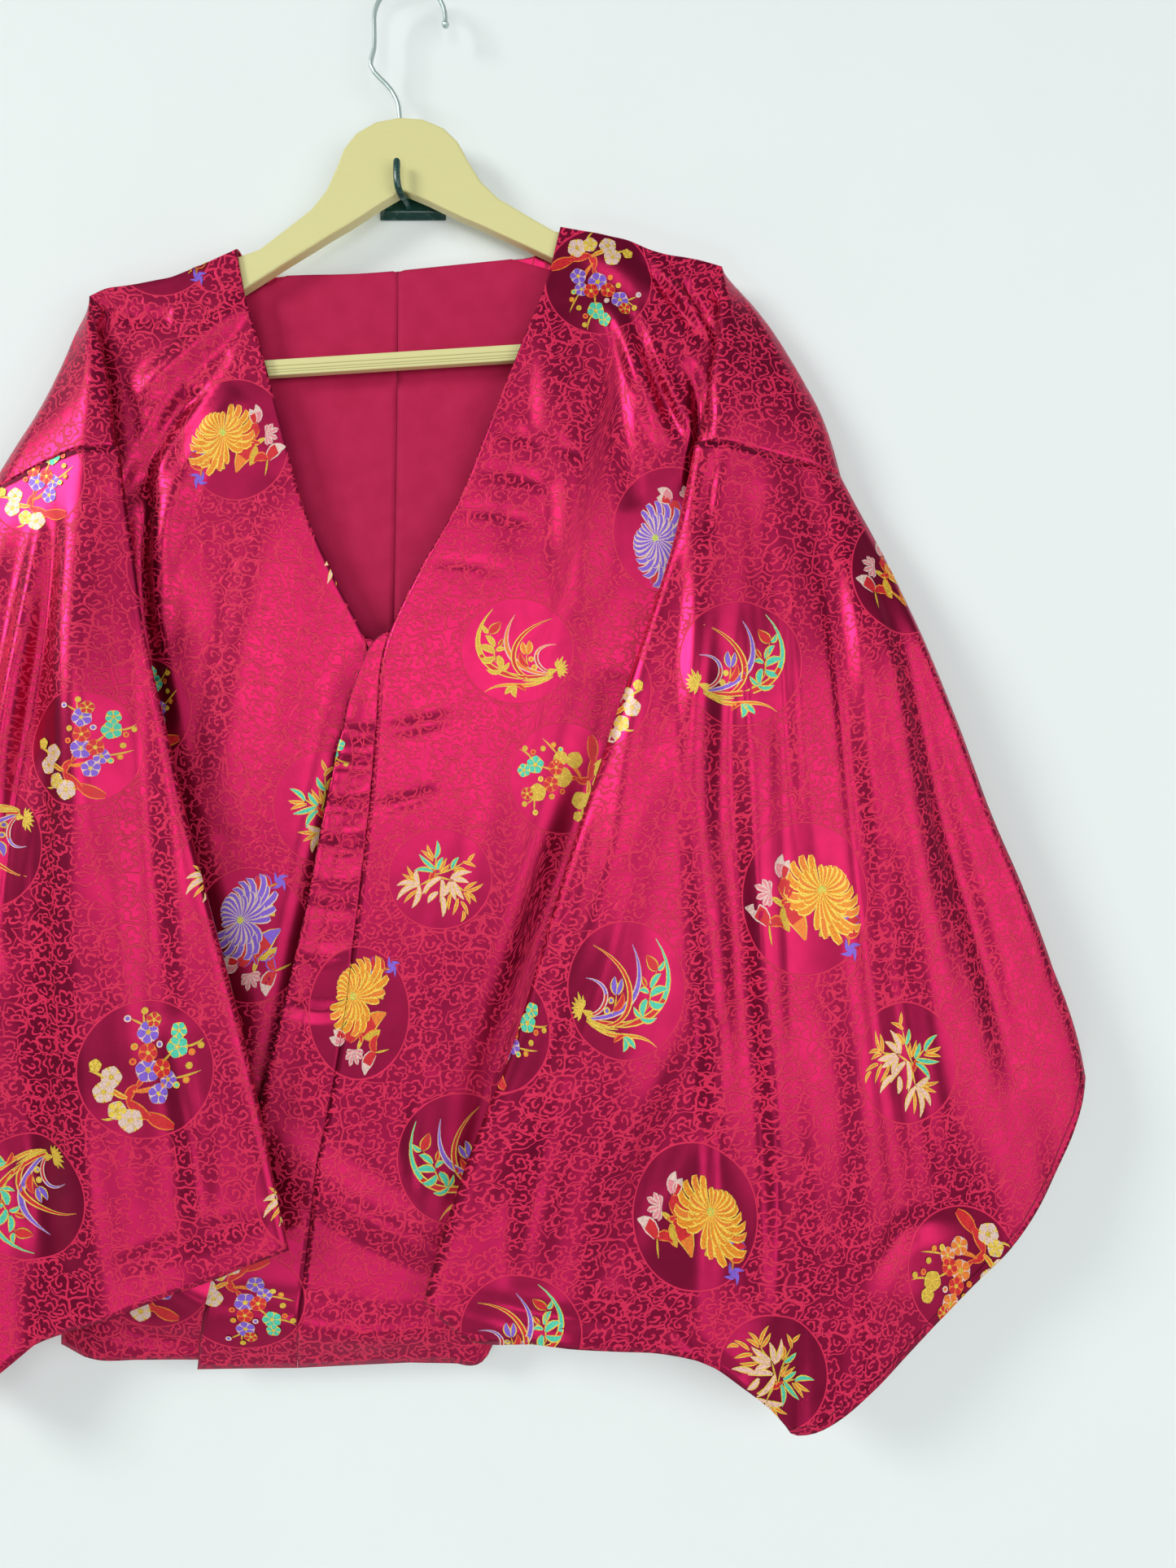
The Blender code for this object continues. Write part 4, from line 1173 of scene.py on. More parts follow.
@dataclass
class Sheet:
    """One piece of cloth: its mesh, its creases and its medallions.

    Args:
        name: name of the piece.
        node: CAD node that it stands for.
        grids: fine grids that make it.
        creases: creases on the side that faces the viewer.
        hidden: creases on the side that faces the wall.
        medallions: its woven discs.
        thickness: thickness of the cloth in millimetres.
    """

    name: str
    node: str
    grids: list[ClothGrid]
    creases: tuple[Crease, ...] = ()
    hidden: tuple[Crease, ...] = ()
    medallions: tuple[Medallion, ...] = ()
    thickness: float = 1.0
    obj: Object = field(init=False)

    def build(self) -> Object:
        """Make the cloth object, creased and with its discs marked.

        Returns:
            The object.
        """
        work = bmesh.new()
        layer = work.loops.layers.uv.new("cut")
        for grid in self.grids:
            self.add_grid(work, layer, grid)
        bmesh.ops.remove_doubles(work, verts=work.verts, dist=2e-6)
        bmesh.ops.dissolve_degenerate(work, edges=work.edges, dist=1e-7)
        bmesh.ops.recalc_face_normals(work, faces=work.faces)
        middle = self.middle_y
        facing = 0.0
        for face in work.faces:
            side = 1 if face.calc_center_median().y < middle else -1
            facing += face.normal.y * face.calc_area() * side
        if facing > 0:
            bmesh.ops.reverse_faces(work, faces=work.faces)
        self.obj = made_object(self.name, work)
        self.crease(self.obj.data)
        self.obj.data.shade_smooth()
        wall = self.obj.modifiers.new("wall", "SOLIDIFY")
        wall.thickness = self.thickness * MM
        wall.offset = 0
        wall.use_even_offset = False
        return self.obj

    @property
    def middle_y(self) -> float:
        """Depth in metres between the layers that face the viewer and the wall."""
        ys = np.concatenate([grid.points[:, :, 1].ravel() for grid in self.grids])
        if ys.max() - ys.min() < 6:
            return 1.0
        return float(ys.max() + ys.min()) / 2 * MM

    @staticmethod
    def add_grid(work: bmesh.types.BMesh, layer: object, grid: ClothGrid) -> None:
        """Add one grid of points to the mesh.

        Args:
            work: mesh that grows.
            layer: its map of the flat cloth.
            grid: the points and their flat places.
        """
        rows, columns = grid.points.shape[:2]
        made = bmesh.ops.create_grid(work, x_segments=columns - 1, y_segments=rows - 1, size=1)
        flat = grid.flat.reshape(-1, 2)
        for vert, point in zip(made["verts"], grid.points.reshape(-1, 3)):
            vert.co = Vector(point) * MM
        numbers = {vert: k for k, vert in enumerate(made["verts"])}
        for face in {face for vert in made["verts"] for face in vert.link_faces}:
            for loop in face.loops:
                loop[layer].uv = flat[numbers[loop.vert]]

    @staticmethod
    def read(items: bpy.types.bpy_prop_collection, key: str) -> Array:
        """Vectors of a mesh's items as rows.

        Args:
            items: vertices or normals.
            key: Blender's name of the vector.

        Returns:
            The rows.
        """
        values = np.empty(len(items) * 3)
        items.foreach_get(key, values)
        return values.reshape(-1, 3)

    def crease(self, mesh: bpy.types.Mesh) -> None:
        """Move the cloth along its normals by its creases, and mark its discs.

        Args:
            mesh: the cloth's mesh.
        """
        places = self.read(mesh.vertices, "co")
        normals = self.read(mesh.vertex_normals, "vector")
        seen = places[:, [0, 2]] / MM
        fronts = normals[:, 1] < 0
        lifts = np.zeros(len(places))
        for chosen, group in ((fronts, self.creases), (~fronts, self.hidden)):
            for crease in group:
                lifts[chosen] += crease.lift(seen[chosen])
        strength = np.abs(normals[:, 1]) ** 0.5
        moved = places + normals * (lifts * strength * MM)[:, None]
        under_bar = BAR_FOOT_Z - seen[:, 1]
        limit = (WOOD_FRONT_Y + 0.6 * np.clip(under_bar, 0, EASED_BELOW)) * MM
        on_wood = (np.abs(seen[:, 0]) < WOOD_REACH) & (under_bar < EASED_BELOW)
        over_wood = fronts & on_wood & (places[:, 1] < limit)
        moved[over_wood, 1] = np.minimum(moved[over_wood, 1], limit[over_wood])
        mesh.vertices.foreach_set("co", moved.ravel())
        disc = np.full(len(places), OFF_DISC)
        for medallion in self.medallions:
            chosen = ~fronts if medallion.behind else fronts
            disc[chosen] = np.maximum(disc[chosen], medallion.inside(seen[chosen]))
        # Distance to the seams, where the brocade gets a painted shadow line.
        stitched = np.where(fronts, self.from_seam_shadow(seen), OFF_SEAM_SHADOW)
        for name, values in (("disc", disc), ("stitched", stitched)):
            mesh.attributes.new(name, "FLOAT", "POINT").data.foreach_set("value", values.astype(np.float32))
        mesh.update()

    def from_seam_shadow(self, seen: Array) -> Array:
        """Distance from the seam line beside a sleeve's opening or along a front band, where a painted seam
        shadow is drawn.

        Args:
            seen: array of (x, z), in millimetres.

        Returns:
            The distance in metres, with its sign by the side of the line.
        """
        side = RIGHT if self.node.endswith("right") else LEFT
        edge = (side.cuff if self.node.startswith("sleeve") else side.band_edge).points
        least = np.full(len(seen), 1000.0)
        for first, last in zip(edge[:-1], edge[1:]):
            way = last - first
            share = np.clip(((seen - first) @ way) / (way @ way), 0, 1)
            apart = seen - first - share[:, None] * way
            turn = np.where(way[0] * apart[:, 1] - way[1] * apart[:, 0] < 0, -1.0, 1.0)
            far = np.linalg.norm(apart, axis=1)
            least = np.where(far < np.abs(least), far * turn, least)
        if self.node.startswith("sleeve"):
            least = np.abs(least) - FACING_WIDTH
        return least * MM

    def tree(self, behind: bool) -> BVHTree:
        """Search tree of the faces that face the viewer, or of those that face the wall.

        Args:
            behind: whether the faces toward the wall are wanted.

        Returns:
            The tree.
        """
        mesh = self.obj.data
        corners = [vert.co.copy() for vert in mesh.vertices]
        faces = [tuple(face.vertices) for face in mesh.polygons if (face.normal.y > 0.02) == behind]
        return BVHTree.FromPolygons(corners, faces)

    def area(self) -> float:
        """Area of the cloth in square metres."""
        return sum(face.area for face in self.obj.data.polygons)


class MotifArt:
    """Flat drawing of motifs out of narrow woven blades, laid on one piece of cloth.

    A motif is drawn in a disc of radius 1, with x across and y up.
    """

    def __init__(self, name: str) -> None:
        """Start an empty drawing.

        Args:
            name: name of the object that it becomes.
        """
        self.name = name
        self.work = bmesh.new()
        self.tint = self.work.loops.layers.float_color.new("thread")
        self.layer = 0
        self.made: list[Vert] = []
        self.palette = FULL

    def blade(self, path: tuple[Row, ...], width: float, edge: Thread, core: Thread,
              tip: Thread | None = None, rows: int = 5, blunt: bool = False) -> None:
        """Add a petal, leaf or stem along a bent line, with an outline round it.

        Args:
            path: points that pull its middle line, from where it grows to its end.
            width: half its greatest width.
            edge: thread of its outline.
            core: thread of its filling.
            tip: thread of the filling of its outer half, where it differs.
            rows: number of steps along it.
            blunt: whether its end is round, as a petal's.
        """
        made = bmesh.ops.create_grid(self.work, x_segments=3, y_segments=rows, size=1)["verts"]
        self.made += made
        self.paint(made, edge, core, tip or core)
        self.layer += 1
        outline = min(OUTLINE_MOST, OUTLINE / width)
        order = len(path) - 1
        for vert in made:
            t = (vert.co.y + 1) / 2
            offset = (-1, -1 + 2 * outline, 1 - 2 * outline, 1)[round((vert.co.x + 1) * 1.5)]
            at, way = Vector((0, 0)), Vector((0, 0))
            for k, point in enumerate(path):
                at += Vector(point) * math.comb(order, k) * (1 - t) ** (order - k) * t ** k
            for k in range(order):
                step = Vector(path[k + 1]) - Vector(path[k])
                way += step * math.comb(order - 1, k) * (1 - t) ** (order - 1 - k) * t ** k
            aside = Vector((way.y, -way.x)).normalized()
            if blunt:
                rounded = math.sqrt(max(0.0, 1 - max(0.0, (t - 0.72) / 0.28) ** 2))
                swell = (0.30 + 0.70 * smooth(t / 0.6)) * rounded
            else:
                swell = math.sin(math.pi * min(1.0, 0.10 + 0.90 * t)) ** 0.8
            at += aside * offset * width * max(swell, 0.10)
            vert.co = Vector((at.x, -self.layer, at.y))

    def paint(self, made: list[Vert], edge: Thread, core: Thread, tip: Thread) -> None:
        """Colour a blade's grid before it is bent: its sides as the edge, its middle as the core.

        Args:
            made: the grid's vertices.
            edge: thread of the outline.
            core: thread of the filling.
            tip: thread of the filling's outer half.
        """
        for face in {face for vert in made for face in vert.link_faces}:
            middle = face.calc_center_median()
            filled = tip if middle.y > 0.1 else core
            thread = filled if abs(middle.x) < 0.33 else edge
            for loop in face.loops:
                loop[self.tint] = self.palette.tone(thread)

    def dot(self, centre: Row, radius: float, edge: Thread, core: Thread) -> None:
        """Add a bud: a small round spot in a ring.

        Args:
            centre: its middle.
            radius: its radius.
            edge: thread of the ring.
            core: thread of the spot.
        """
        for size, thread in ((radius, edge), (radius * 0.55, core)):
            spot = bmesh.ops.create_circle(self.work, cap_ends=True, segments=8, radius=size)["verts"]
            self.layer += 1
            for loop in spot[0].link_faces[0].loops:
                loop[self.tint] = self.palette.tone(thread)
            for vert in spot:
                vert.co = Vector((centre[0] + vert.co.x, -self.layer, centre[1] + vert.co.y))
            self.made += spot

    def blossom(self, centre: Row, radius: float, core: Thread, edge: Thread, turn: float) -> None:
        """Add an open flower of five round petals.

        Args:
            centre: its middle.
            radius: length of a petal.
            core: thread of the petals.
            edge: thread of their outlines.
            turn: turn of the flower in degrees.
        """
        middle = Vector(centre)
        for k in range(5):
            angle = math.radians(turn + 360 / 5 * k)
            way = Vector((math.cos(angle), math.sin(angle))) * radius
            path = (middle + way * 0.1, middle + way * 0.6, middle + way)
            self.blade(path, radius * 0.50, edge, core, rows=4, blunt=True)
        self.dot(centre, radius * 0.26, GOLD, YELLOW)

    def leaves(self, *rows: tuple) -> None:
        """Add blades from rows of width, threads, and x and y of each point.

        Args:
            rows: width in thousandths, edge, core and perhaps tip thread, and places in hundredths.
        """
        for row in rows:
            threads = [value for value in row if isinstance(value, Thread)]
            path = pairs([value / 100 for value in row[1 + len(threads):]])
            self.blade(path, row[0] / 1000, *threads, rows=5 if len(path) < 4 else 14)

    def spray(self, centre: Row, rays: tuple[Row, ...], pull: Row, look: tuple, rows: int = 4,
              blunt: bool = True) -> None:
        """Add blades that spread from one point.

        Args:
            centre: where they grow.
            rays: direction in degrees and length of each.
            pull: how far along and aside their middles are pulled, as shares of the length.
            look: width, outline thread and filling thread of each.
            rows: number of steps along each.
            blunt: whether their ends are round.
        """
        first = Vector(centre)
        for turn, reach in rays:
            angle = math.radians(turn)
            way = Vector((math.cos(angle), math.sin(angle))) * reach
            bend = way * pull[0] + Vector((-way.y, way.x)) * pull[1]
            self.blade((first, first + bend, first + way), *look, rows=rows, blunt=blunt)

    def plum(self) -> None:
        """Crooked plum branch with twigs, blossoms and buds."""
        self.leaves(
            (115, ORANGE, RED, 42, -86, 16, -80, -6, -62), (95, ORANGE, RED, 4, -72, -16, -60, -30, -40),
            (75, ORANGE, RED, -26, -46, -30, -30, -10, -20), (50, ORANGE, RED, -14, -24, -4, -10, 2, 4),
            (40, ORANGE, ORANGE, -20, -30, 10, -34, 46, -12),
            (45, YELLOW, ORANGE, -28, -40, -44, -36, -58, -20), (22, GOLD, GOLD, 0, 2, -4, 30, 2, 52),
            (20, GOLD, GOLD, 2, 50, -6, 66, -6, 86), (16, GOLD, GOLD, -4, 66, -14, 72, -24, 78),
            (20, GOLD, GOLD, 14, 2, 28, 14, 42, 28), (18, GOLD, GOLD, 56, 34, 74, 34, 88, 46),
            (18, GOLD, GOLD, 44, -12, 62, -10, 84, -2), (22, YELLOW, GOLD, -58, -14, -70, 0, -86, 2),
            (20, YELLOW, GOLD, -42, -66, -56, -74, -68, -70),
        )
        for k, (x, y, radius, core, edge) in enumerate((
            (-52, -8, 17, WHITE, YELLOW), (-64, -30, 17, WHITE, YELLOW), (-24, -74, 19, WHITE, YELLOW),
            (-44, -58, 15, YELLOW, WHITE), (2, 0, 19, PURPLE, WHITE), (2, 56, 17, PURPLE, WHITE),
            (34, -14, 14, PURPLE, WHITE), (18, -36, 16, PURPLE, WHITE), (24, 2, 15, RED, ORANGE),
            (2, 26, 15, RED, ORANGE), (10, 74, 12, RED, GOLD), (48, 34, 17, TEAL, YELLOW),
            (50, 58, 13, TEAL, YELLOW), (-76, 10, 10, YELLOW, GOLD),
        )):
            self.blossom((x / 100, y / 100), radius / 100, core, edge, 23 * k)
        for x, y, edge, core in (
            (-20, 14, ORANGE, RED), (-28, 78, WHITE, PURPLE), (20, 38, WHITE, PURPLE),
            (70, 26, ORANGE, RED), (48, -22, YELLOW, TEAL), (62, -15, ORANGE, GOLD),
            (-18, 36, GOLD, ORANGE), (-4, 88, GOLD, GOLD), (84, 36, GOLD, GOLD), (66, 6, GOLD, GOLD),
        ):
            self.dot((x / 100, y / 100), 0.055, edge, core)

    def chrysanthemum(self) -> None:
        """Spider chrysanthemum with long curling petals, leaves, a bud and small side flowers."""
        self.leaves(
            (150, ORANGE, RED, -44, 22, -26, 14, -10, -2),
            (90, WHITE, PINK, WHITE, -40, 30, -46, 44, -38, 60),
            (80, WHITE, RED, WHITE, -36, 28, -34, 42, -26, 52),
            (40, YELLOW, GOLD, -56, 2, -44, -2, -36, -12), (50, ORANGE, RED, -46, -6, -30, -2, -18, -6),
            (150, YELLOW, RED, ORANGE, -36, -10, -12, -16, 0, -56),
            (90, ORANGE, GOLD, -38, -12, -36, -32, -26, -44),
            (115, WHITE, RED, WHITE, -62, -34, -72, -12, -96, -12),
            (85, ORANGE, RED, -60, -34, -48, -22, -34, -38), (18, GOLD, GOLD, -61, -34, -60, -46, -56, -62),
            (125, YELLOW, RED, GOLD, 56, -38, 40, -32, 22, -50),
            (60, PURPLE, PURPLE, 60, -40, 56, -28, 62, -16), (90, PURPLE, RED, 60, -42, 74, -24, 88, -30),
            (70, ORANGE, RED, 60, -44, 76, -52, 88, -40), (16, GOLD, RED, 66, -46, 70, -56, 68, -66),
        )
        bud = ((200, 0.24), (160, 0.26), (128, 0.22), (236, 0.22), (262, 0.20), (100, 0.16))
        self.spray((-0.58, 0.10), bud, (0.6, 0), (0.045, WHITE, PINK))
        curls = ((20, 0.17), (120, 0.17), (200, 0.17), (290, 0.17))
        self.spray((0.72, -0.68), curls, (0, 0.5), (0.036, PURPLE, PURPLE), blunt=False)
        self.petals()

    def petals(self) -> None:
        """The chrysanthemum's long petals, back rows first: direction, length, curl and width of each."""
        centre = Vector((0.26, 0.12))
        for k, (turn, length, curl, width) in enumerate((
            (128, 56, 14, 62), (112, 50, 10, 58), (146, 60, 16, 62), (165, 58, 22, 66), (186, 61, 22, 66),
            (204, 58, 24, 66), (224, 48, 26, 60), (262, 54, -8, 58), (276, 66, -6, 62), (291, 78, -10, 66),
            (303, 72, -16, 62), (314, 80, -20, 66), (328, 66, -26, 62), (340, 59, -28, 60),
            (352, 50, -30, 56), (8, 44, -26, 50), (24, 42, -24, 48), (38, 40, -20, 46), (52, 38, -16, 46),
            (66, 35, -14, 46), (80, 32, -10, 44), (95, 34, -6, 44), (120, 36, 10, 46), (138, 38, 14, 48),
            (158, 40, 18, 48), (178, 38, 18, 48), (198, 38, 20, 48), (216, 32, 22, 46), (272, 38, -6, 46),
            (286, 48, -10, 48), (302, 50, -14, 48), (318, 48, -20, 48), (336, 38, -24, 46),
        )):
            reach = length / 100
            points = [centre + Vector((math.cos(a), math.sin(a))) * r for a, r in (
                (math.radians(turn + curl), reach * 0.42),
                (math.radians(turn + curl * 0.4), reach * 1.04),
                (math.radians(turn - curl * 0.5), reach * 0.98),
            )]
            core = PETAL if k % 4 else ORANGE
            self.blade((centre, *points), width / 1000, PETAL_EDGE, core, rows=7, blunt=True)
        self.dot(centre, 0.06, GREEN, YELLOW)

    def orchid(self) -> None:
        """Orchid: long arching leaves from one tuft, with sprigs and buds."""
        self.leaves(
            (58, YELLOW, RED, TEAL, -64, -46, 20, -66, 86, -34, 92, 30, 44, 82),
            (56, WHITE, PURPLE, -60, -46, 10, -40, 42, 10, 4, 70),
            (50, YELLOW, RED, -30, -54, 22, -46, 26, 36, -64, 62),
            (42, WHITE, RED, PURPLE, -66, -42, -30, -40, -18, 14, -72, 12),
            (36, YELLOW, ORANGE, -58, -54, -14, -82, 22, -50, 60, -80),
            (30, YELLOW, GOLD, -66, -46, -40, -58, -10, -58),
            (30, YELLOW, GOLD, -66, -50, -40, -66, -14, -62), (15, GOLD, GOLD, -20, -56, 24, -46, 42, -18),
            (15, GOLD, GOLD, 40, -22, 42, 4, 50, 36), (70, YELLOW, TEAL, 42, -4, 52, 10, 74, 8),
            (70, YELLOW, TEAL, 42, -12, 54, -24, 68, -14), (70, YELLOW, TEAL, 36, -10, 26, -22, 32, -36),
            (60, YELLOW, TEAL, 42, 8, 46, 24, 58, 30), (50, YELLOW, TEAL, 38, 0, 30, 8, 22, 2),
            (50, YELLOW, TEAL, 28, -38, 42, -46, 56, -36), (45, YELLOW, TEAL, 28, -36, 20, -34, 14, -22),
            (95, GOLD, RED, 50, 36, 42, 42, 30, 56), (48, YELLOW, TEAL, 52, 36, 60, 38, 62, 50),
            (45, GOLD, RED, 34, 10, 28, 16, 26, 24), (14, GOLD, GOLD, -22, -36, -16, -20, -18, -4),
            (70, YELLOW, PURPLE, -18, -6, -26, 6, -22, 20), (60, YELLOW, PURPLE, -16, -6, -10, 6, -10, 18),
            (65, ORANGE, RED, -20, -30, -4, -22, -6, -2), (60, YELLOW, TEAL, 2, -68, 10, -78, 2, -90),
            (55, YELLOW, TEAL, 4, -68, 16, -74, 22, -84), (45, ORANGE, RED, 0, -66, -10, -68, -16, -78),
        )
        self.dot((-0.26, -0.16), 0.055, YELLOW, PURPLE)
        self.dot((-0.32, -0.32), 0.060, YELLOW, PURPLE)
        tuft = (
            (112, 0.28), (134, 0.24), (156, 0.22), (178, 0.20), (200, 0.20), (224, 0.20), (92, 0.22),
            (76, 0.16), (250, 0.18), (-20, 0.24), (-36, 0.24), (-4, 0.20),
        )
        self.spray((-0.74, -0.36), tuft, (0.5, 0), (0.026, YELLOW, GOLD), rows=3)

    def bamboo(self) -> None:
        """Bamboo spray: drooping pale leaves, young green ones and thin gold tips."""
        stems = (
            (-12, 8, 20, 14, 52, 36), (-8, 42, -8, 24, -14, 6), (-12, 6, -28, -10, -44, -14),
            (-10, 6, 10, 0, 26, -4), (26, -6, 38, -18, 50, -26),
        )
        tips = (
            (-46, -4, -58, 6, -66, 26), (-48, -6, -60, 0, -76, 10), (48, -24, 60, -12, 74, -6),
            (52, -26, 70, -24, 86, -10), (48, -28, 58, -38, 60, -52), (54, -28, 66, -34, 72, -48),
            (22, -30, 16, -46, 18, -64), (36, -40, 34, -56, 26, -74), (42, -46, 52, -56, 56, -74),
            (46, -66, 52, -76, 42, -88), (0, 14, 4, 28, 14, 42), (2, 12, 10, 18, 20, 30),
            (-14, 36, -24, 50, -38, 58), (-12, 42, -24, 56, -26, 70), (56, 34, 60, 42, 70, 52),
            (46, 34, 58, 34, 72, 24), (28, 16, 40, 24, 52, 18), (-46, -24, -60, -32, -72, -50),
        )
        green = (
            (-10, 20, -26, 30, -42, 50), (-14, 14, -32, 24, -52, 16), (-10, 42, 0, 56, -6, 78),
            (-6, 18, -2, 34, 6, 44), (24, 20, 26, 34, 38, 44),
        )
        pale = (
            (2, 2, -20, -4, -36, -32), (4, -2, 10, -24, 0, -48), (20, -6, 18, -22, 8, -36),
            (24, -6, 24, -26, 32, -44), (28, -6, 34, -26, 48, -42), (22, 0, 36, 16, 64, 14),
            (26, -2, 40, 2, 58, -8), (-44, -14, -72, -14, -86, -44), (-42, -14, -40, -40, -56, -60),
            (-46, -12, -66, -2, -86, -14), (-42, -12, -52, 4, -46, 18), (4, -34, 12, -56, 6, -78),
            (-4, -28, -20, -36, -24, -50),
        )
        self.leaves(*((18, YELLOW, GOLD, *path) for path in stems))
        self.leaves(
            (60, ORANGE, RED, -16, -6, -20, 6, -8, 18), (50, YELLOW, YELLOW, -14, -6, -28, -16, -30, -32),
        )
        for width, core, paths in ((38, ORANGE, tips), (55, TEAL, green), (62, PALE, pale)):
            self.leaves(*((width, YELLOW, core, *path) for path in paths))

    def lay(self, medallion: Medallion, tree: BVHTree, lift: float) -> None:
        """Draw one medallion's motif and lay it on the cloth.

        Args:
            medallion: what and where it is.
            tree: search tree of the cloth's faces on that side.
            lift: distance in metres from the middle of the cloth.
        """
        self.layer = 0
        self.palette = medallion.palette
        self.made = []
        draw = {PLUM: self.plum, CHRYSANTHEMUM: self.chrysanthemum, ORCHID: self.orchid, BAMBOO: self.bamboo}
        draw[medallion.motif]()
        turn = math.radians(medallion.turn)
        way = 1 if medallion.behind else -1
        missed = set()
        for vert in self.made:
            x, layer, z = vert.co
            x = -x if medallion.flip else x
            across = x * math.cos(turn) - z * math.sin(turn)
            up = x * math.sin(turn) + z * math.cos(turn)
            place = Vector((
                (medallion.x + across * medallion.half_width * MOTIF_REACH) * MM,
                CLEAR_Y * way,
                (medallion.z + up * medallion.half_height * MOTIF_REACH) * MM,
            ))
            point, normal, _, _ = tree.ray_cast(place, Vector((0, -way, 0)))
            if point is None:
                missed.add(vert)
                vert.co = place
                continue
            vert.co = point + normal * (lift - layer * BLADE_STEP * MM)
        self.clip(missed, tree, lift)

    def clip(self, missed: set[Vert], tree: BVHTree, lift: float) -> None:
        """End a motif at the edge of its piece of cloth.

        Args:
            missed: its vertices beyond the cloth.
            tree: search tree of the cloth.
            lift: distance in metres from the middle of the cloth.
        """
        faces = {face for vert in self.made for face in vert.link_faces}
        gone = [face for face in faces if all(vert in missed for vert in face.verts)]
        for face in faces:
            held = [vert for vert in face.verts if vert not in missed]
            for vert in face.verts:
                if held and vert in missed and abs(vert.co.y) > CLEAR_Y - 0.05:
                    guess = Vector((vert.co.x, held[0].co.y, vert.co.z))
                    point, normal, _, _ = tree.find_nearest(guess)
                    vert.co = point + normal * lift
        bmesh.ops.delete(self.work, geom=gone, context="FACES")

    def finish(self) -> Object:
        """Make the drawing an object.

        Returns:
            The object.
        """
        obj = made_object(self.name, self.work)
        obj.data.shade_smooth()
        return obj


def placed(name: str, data: bpy.types.ID) -> Object:
    """New object in the scene, at the origin.

    Args:
        name: its name.
        data: its mesh, light or camera.

    Returns:
        The object.
    """
    obj = bpy.data.objects.new(name, data)
    bpy.context.scene.collection.objects.link(obj)
    return obj


def made_object(name: str, work: bmesh.types.BMesh) -> Object:
    """New object from a mesh that is ready.

    Args:
        name: its name.
        work: the mesh, which is freed.

    Returns:
        The object.
    """
    mesh = bpy.data.meshes.new(name)
    work.to_mesh(mesh)
    work.free()
    return placed(name, mesh)


class NodeKit:
    """Short ways to make a material's nodes."""

    def __init__(self, tree: Nodes) -> None:
        """Keep the tree that grows."""
        self.tree = tree

    def fill(self, node: Node, inputs: dict[str | int, object]) -> None:
        """Set a node's inputs to values, or link them to other nodes' sockets.

        Args:
            node: the node.
            inputs: value or socket of each input.
        """
        for key, value in inputs.items():
            if isinstance(value, Socket):
                self.tree.links.new(value, node.inputs[key])
            else:
                node.inputs[key].default_value = value

    def add(self, kind: str, inputs: dict[str | int, object] | None = None, **settings: object) -> Node:
        """Add a node.

        Args:
            kind: Blender's name of the node.
            inputs: values of or links to its inputs.
            settings: its other settings.

        Returns:
            The new node.
        """
        node = self.tree.nodes.new(kind)
        for key, value in settings.items():
            setattr(node, key, value)
        self.fill(node, inputs or {})
        return node

    def math(self, operation: str, *values: object) -> Socket:
        """Result of a Math node."""
        return self.add("ShaderNodeMath", dict(enumerate(values)), operation=operation).outputs[0]

    def apart(self, first: object, second: object) -> Socket:
        """Distance between two values."""
        return self.math("ABSOLUTE", self.math("SUBTRACT", first, second))

    def vector(self, operation: str, first: object, second: object) -> Socket:
        """Result of a Vector Math node, whose scale is its fourth input."""
        inputs = {0: first, 3 if operation == "SCALE" else 1: second}
        return self.add("ShaderNodeVectorMath", inputs, operation=operation).outputs[0]

    def ramp(self, value: object, low: object, high: object, first: float = 0.0, last: float = 1.0) -> object:
        """Smooth step of a value from low to high."""
        inputs = {0: value, 1: low, 2: high, 3: first, 4: last}
        return self.add("ShaderNodeMapRange", inputs, interpolation_type="SMOOTHSTEP").outputs[0]

    def mix(self, share: object, first: object, last: object) -> Socket:
        """Mix of two colours."""
        return self.add("ShaderNodeMix", {0: share, 6: first, 7: last}, data_type="RGBA").outputs[2]

    def stretched(self, place: object, scale: Place) -> Socket:
        """Place with its three parts scaled."""
        return self.add("ShaderNodeMapping", {"Vector": place, "Scale": scale}).outputs[0]

    def noise(self, place: object, scale: float, detail: float, distortion: float = 0.0) -> Socket:
        """Soft uneven value."""
        inputs = {"Vector": place, "Scale": scale, "Detail": detail, "Distortion": distortion}
        return self.add("ShaderNodeTexNoise", inputs).outputs["Fac"]

    def mark(self, name: str, output: str = "Fac") -> Socket:
        """Value that the mesh carries under a name."""
        return self.add("ShaderNodeAttribute", attribute_name=name).outputs[output]

    def here(self) -> Socket:
        """Place on the object, in metres."""
        return self.add("ShaderNodeTexCoord").outputs["Object"]

    def bump(self, height: object, strength: float, distance: float) -> Socket:
        """Normal of an uneven surface."""
        inputs = {"Height": height, "Strength": strength, "Distance": distance}
        return self.add("ShaderNodeBump", inputs).outputs[0]


def new_group(name: str, inputs: dict[str, float | None], outputs: tuple[str, ...]) -> tuple:
    """Start a shader node group.

    Args:
        name: its name.
        inputs: default of each input, or None for a place.
        outputs: names of its outputs.

    Returns:
        The group, its kit, the sockets of its input node and its output node.
    """
    group = bpy.data.node_groups.new(name, "ShaderNodeTree")
    for label, value in inputs.items():
        kind = "NodeSocketVector" if value is None else "NodeSocketFloat"
        socket = group.interface.new_socket(name=label, in_out="INPUT", socket_type=kind)
        if value is not None:
            socket.default_value = value
    for label in outputs:
        group.interface.new_socket(name=label, in_out="OUTPUT", socket_type="NodeSocketFloat")
    kit = NodeKit(group)
    return group, kit, kit.add("NodeGroupInput").outputs, kit.add("NodeGroupOutput")


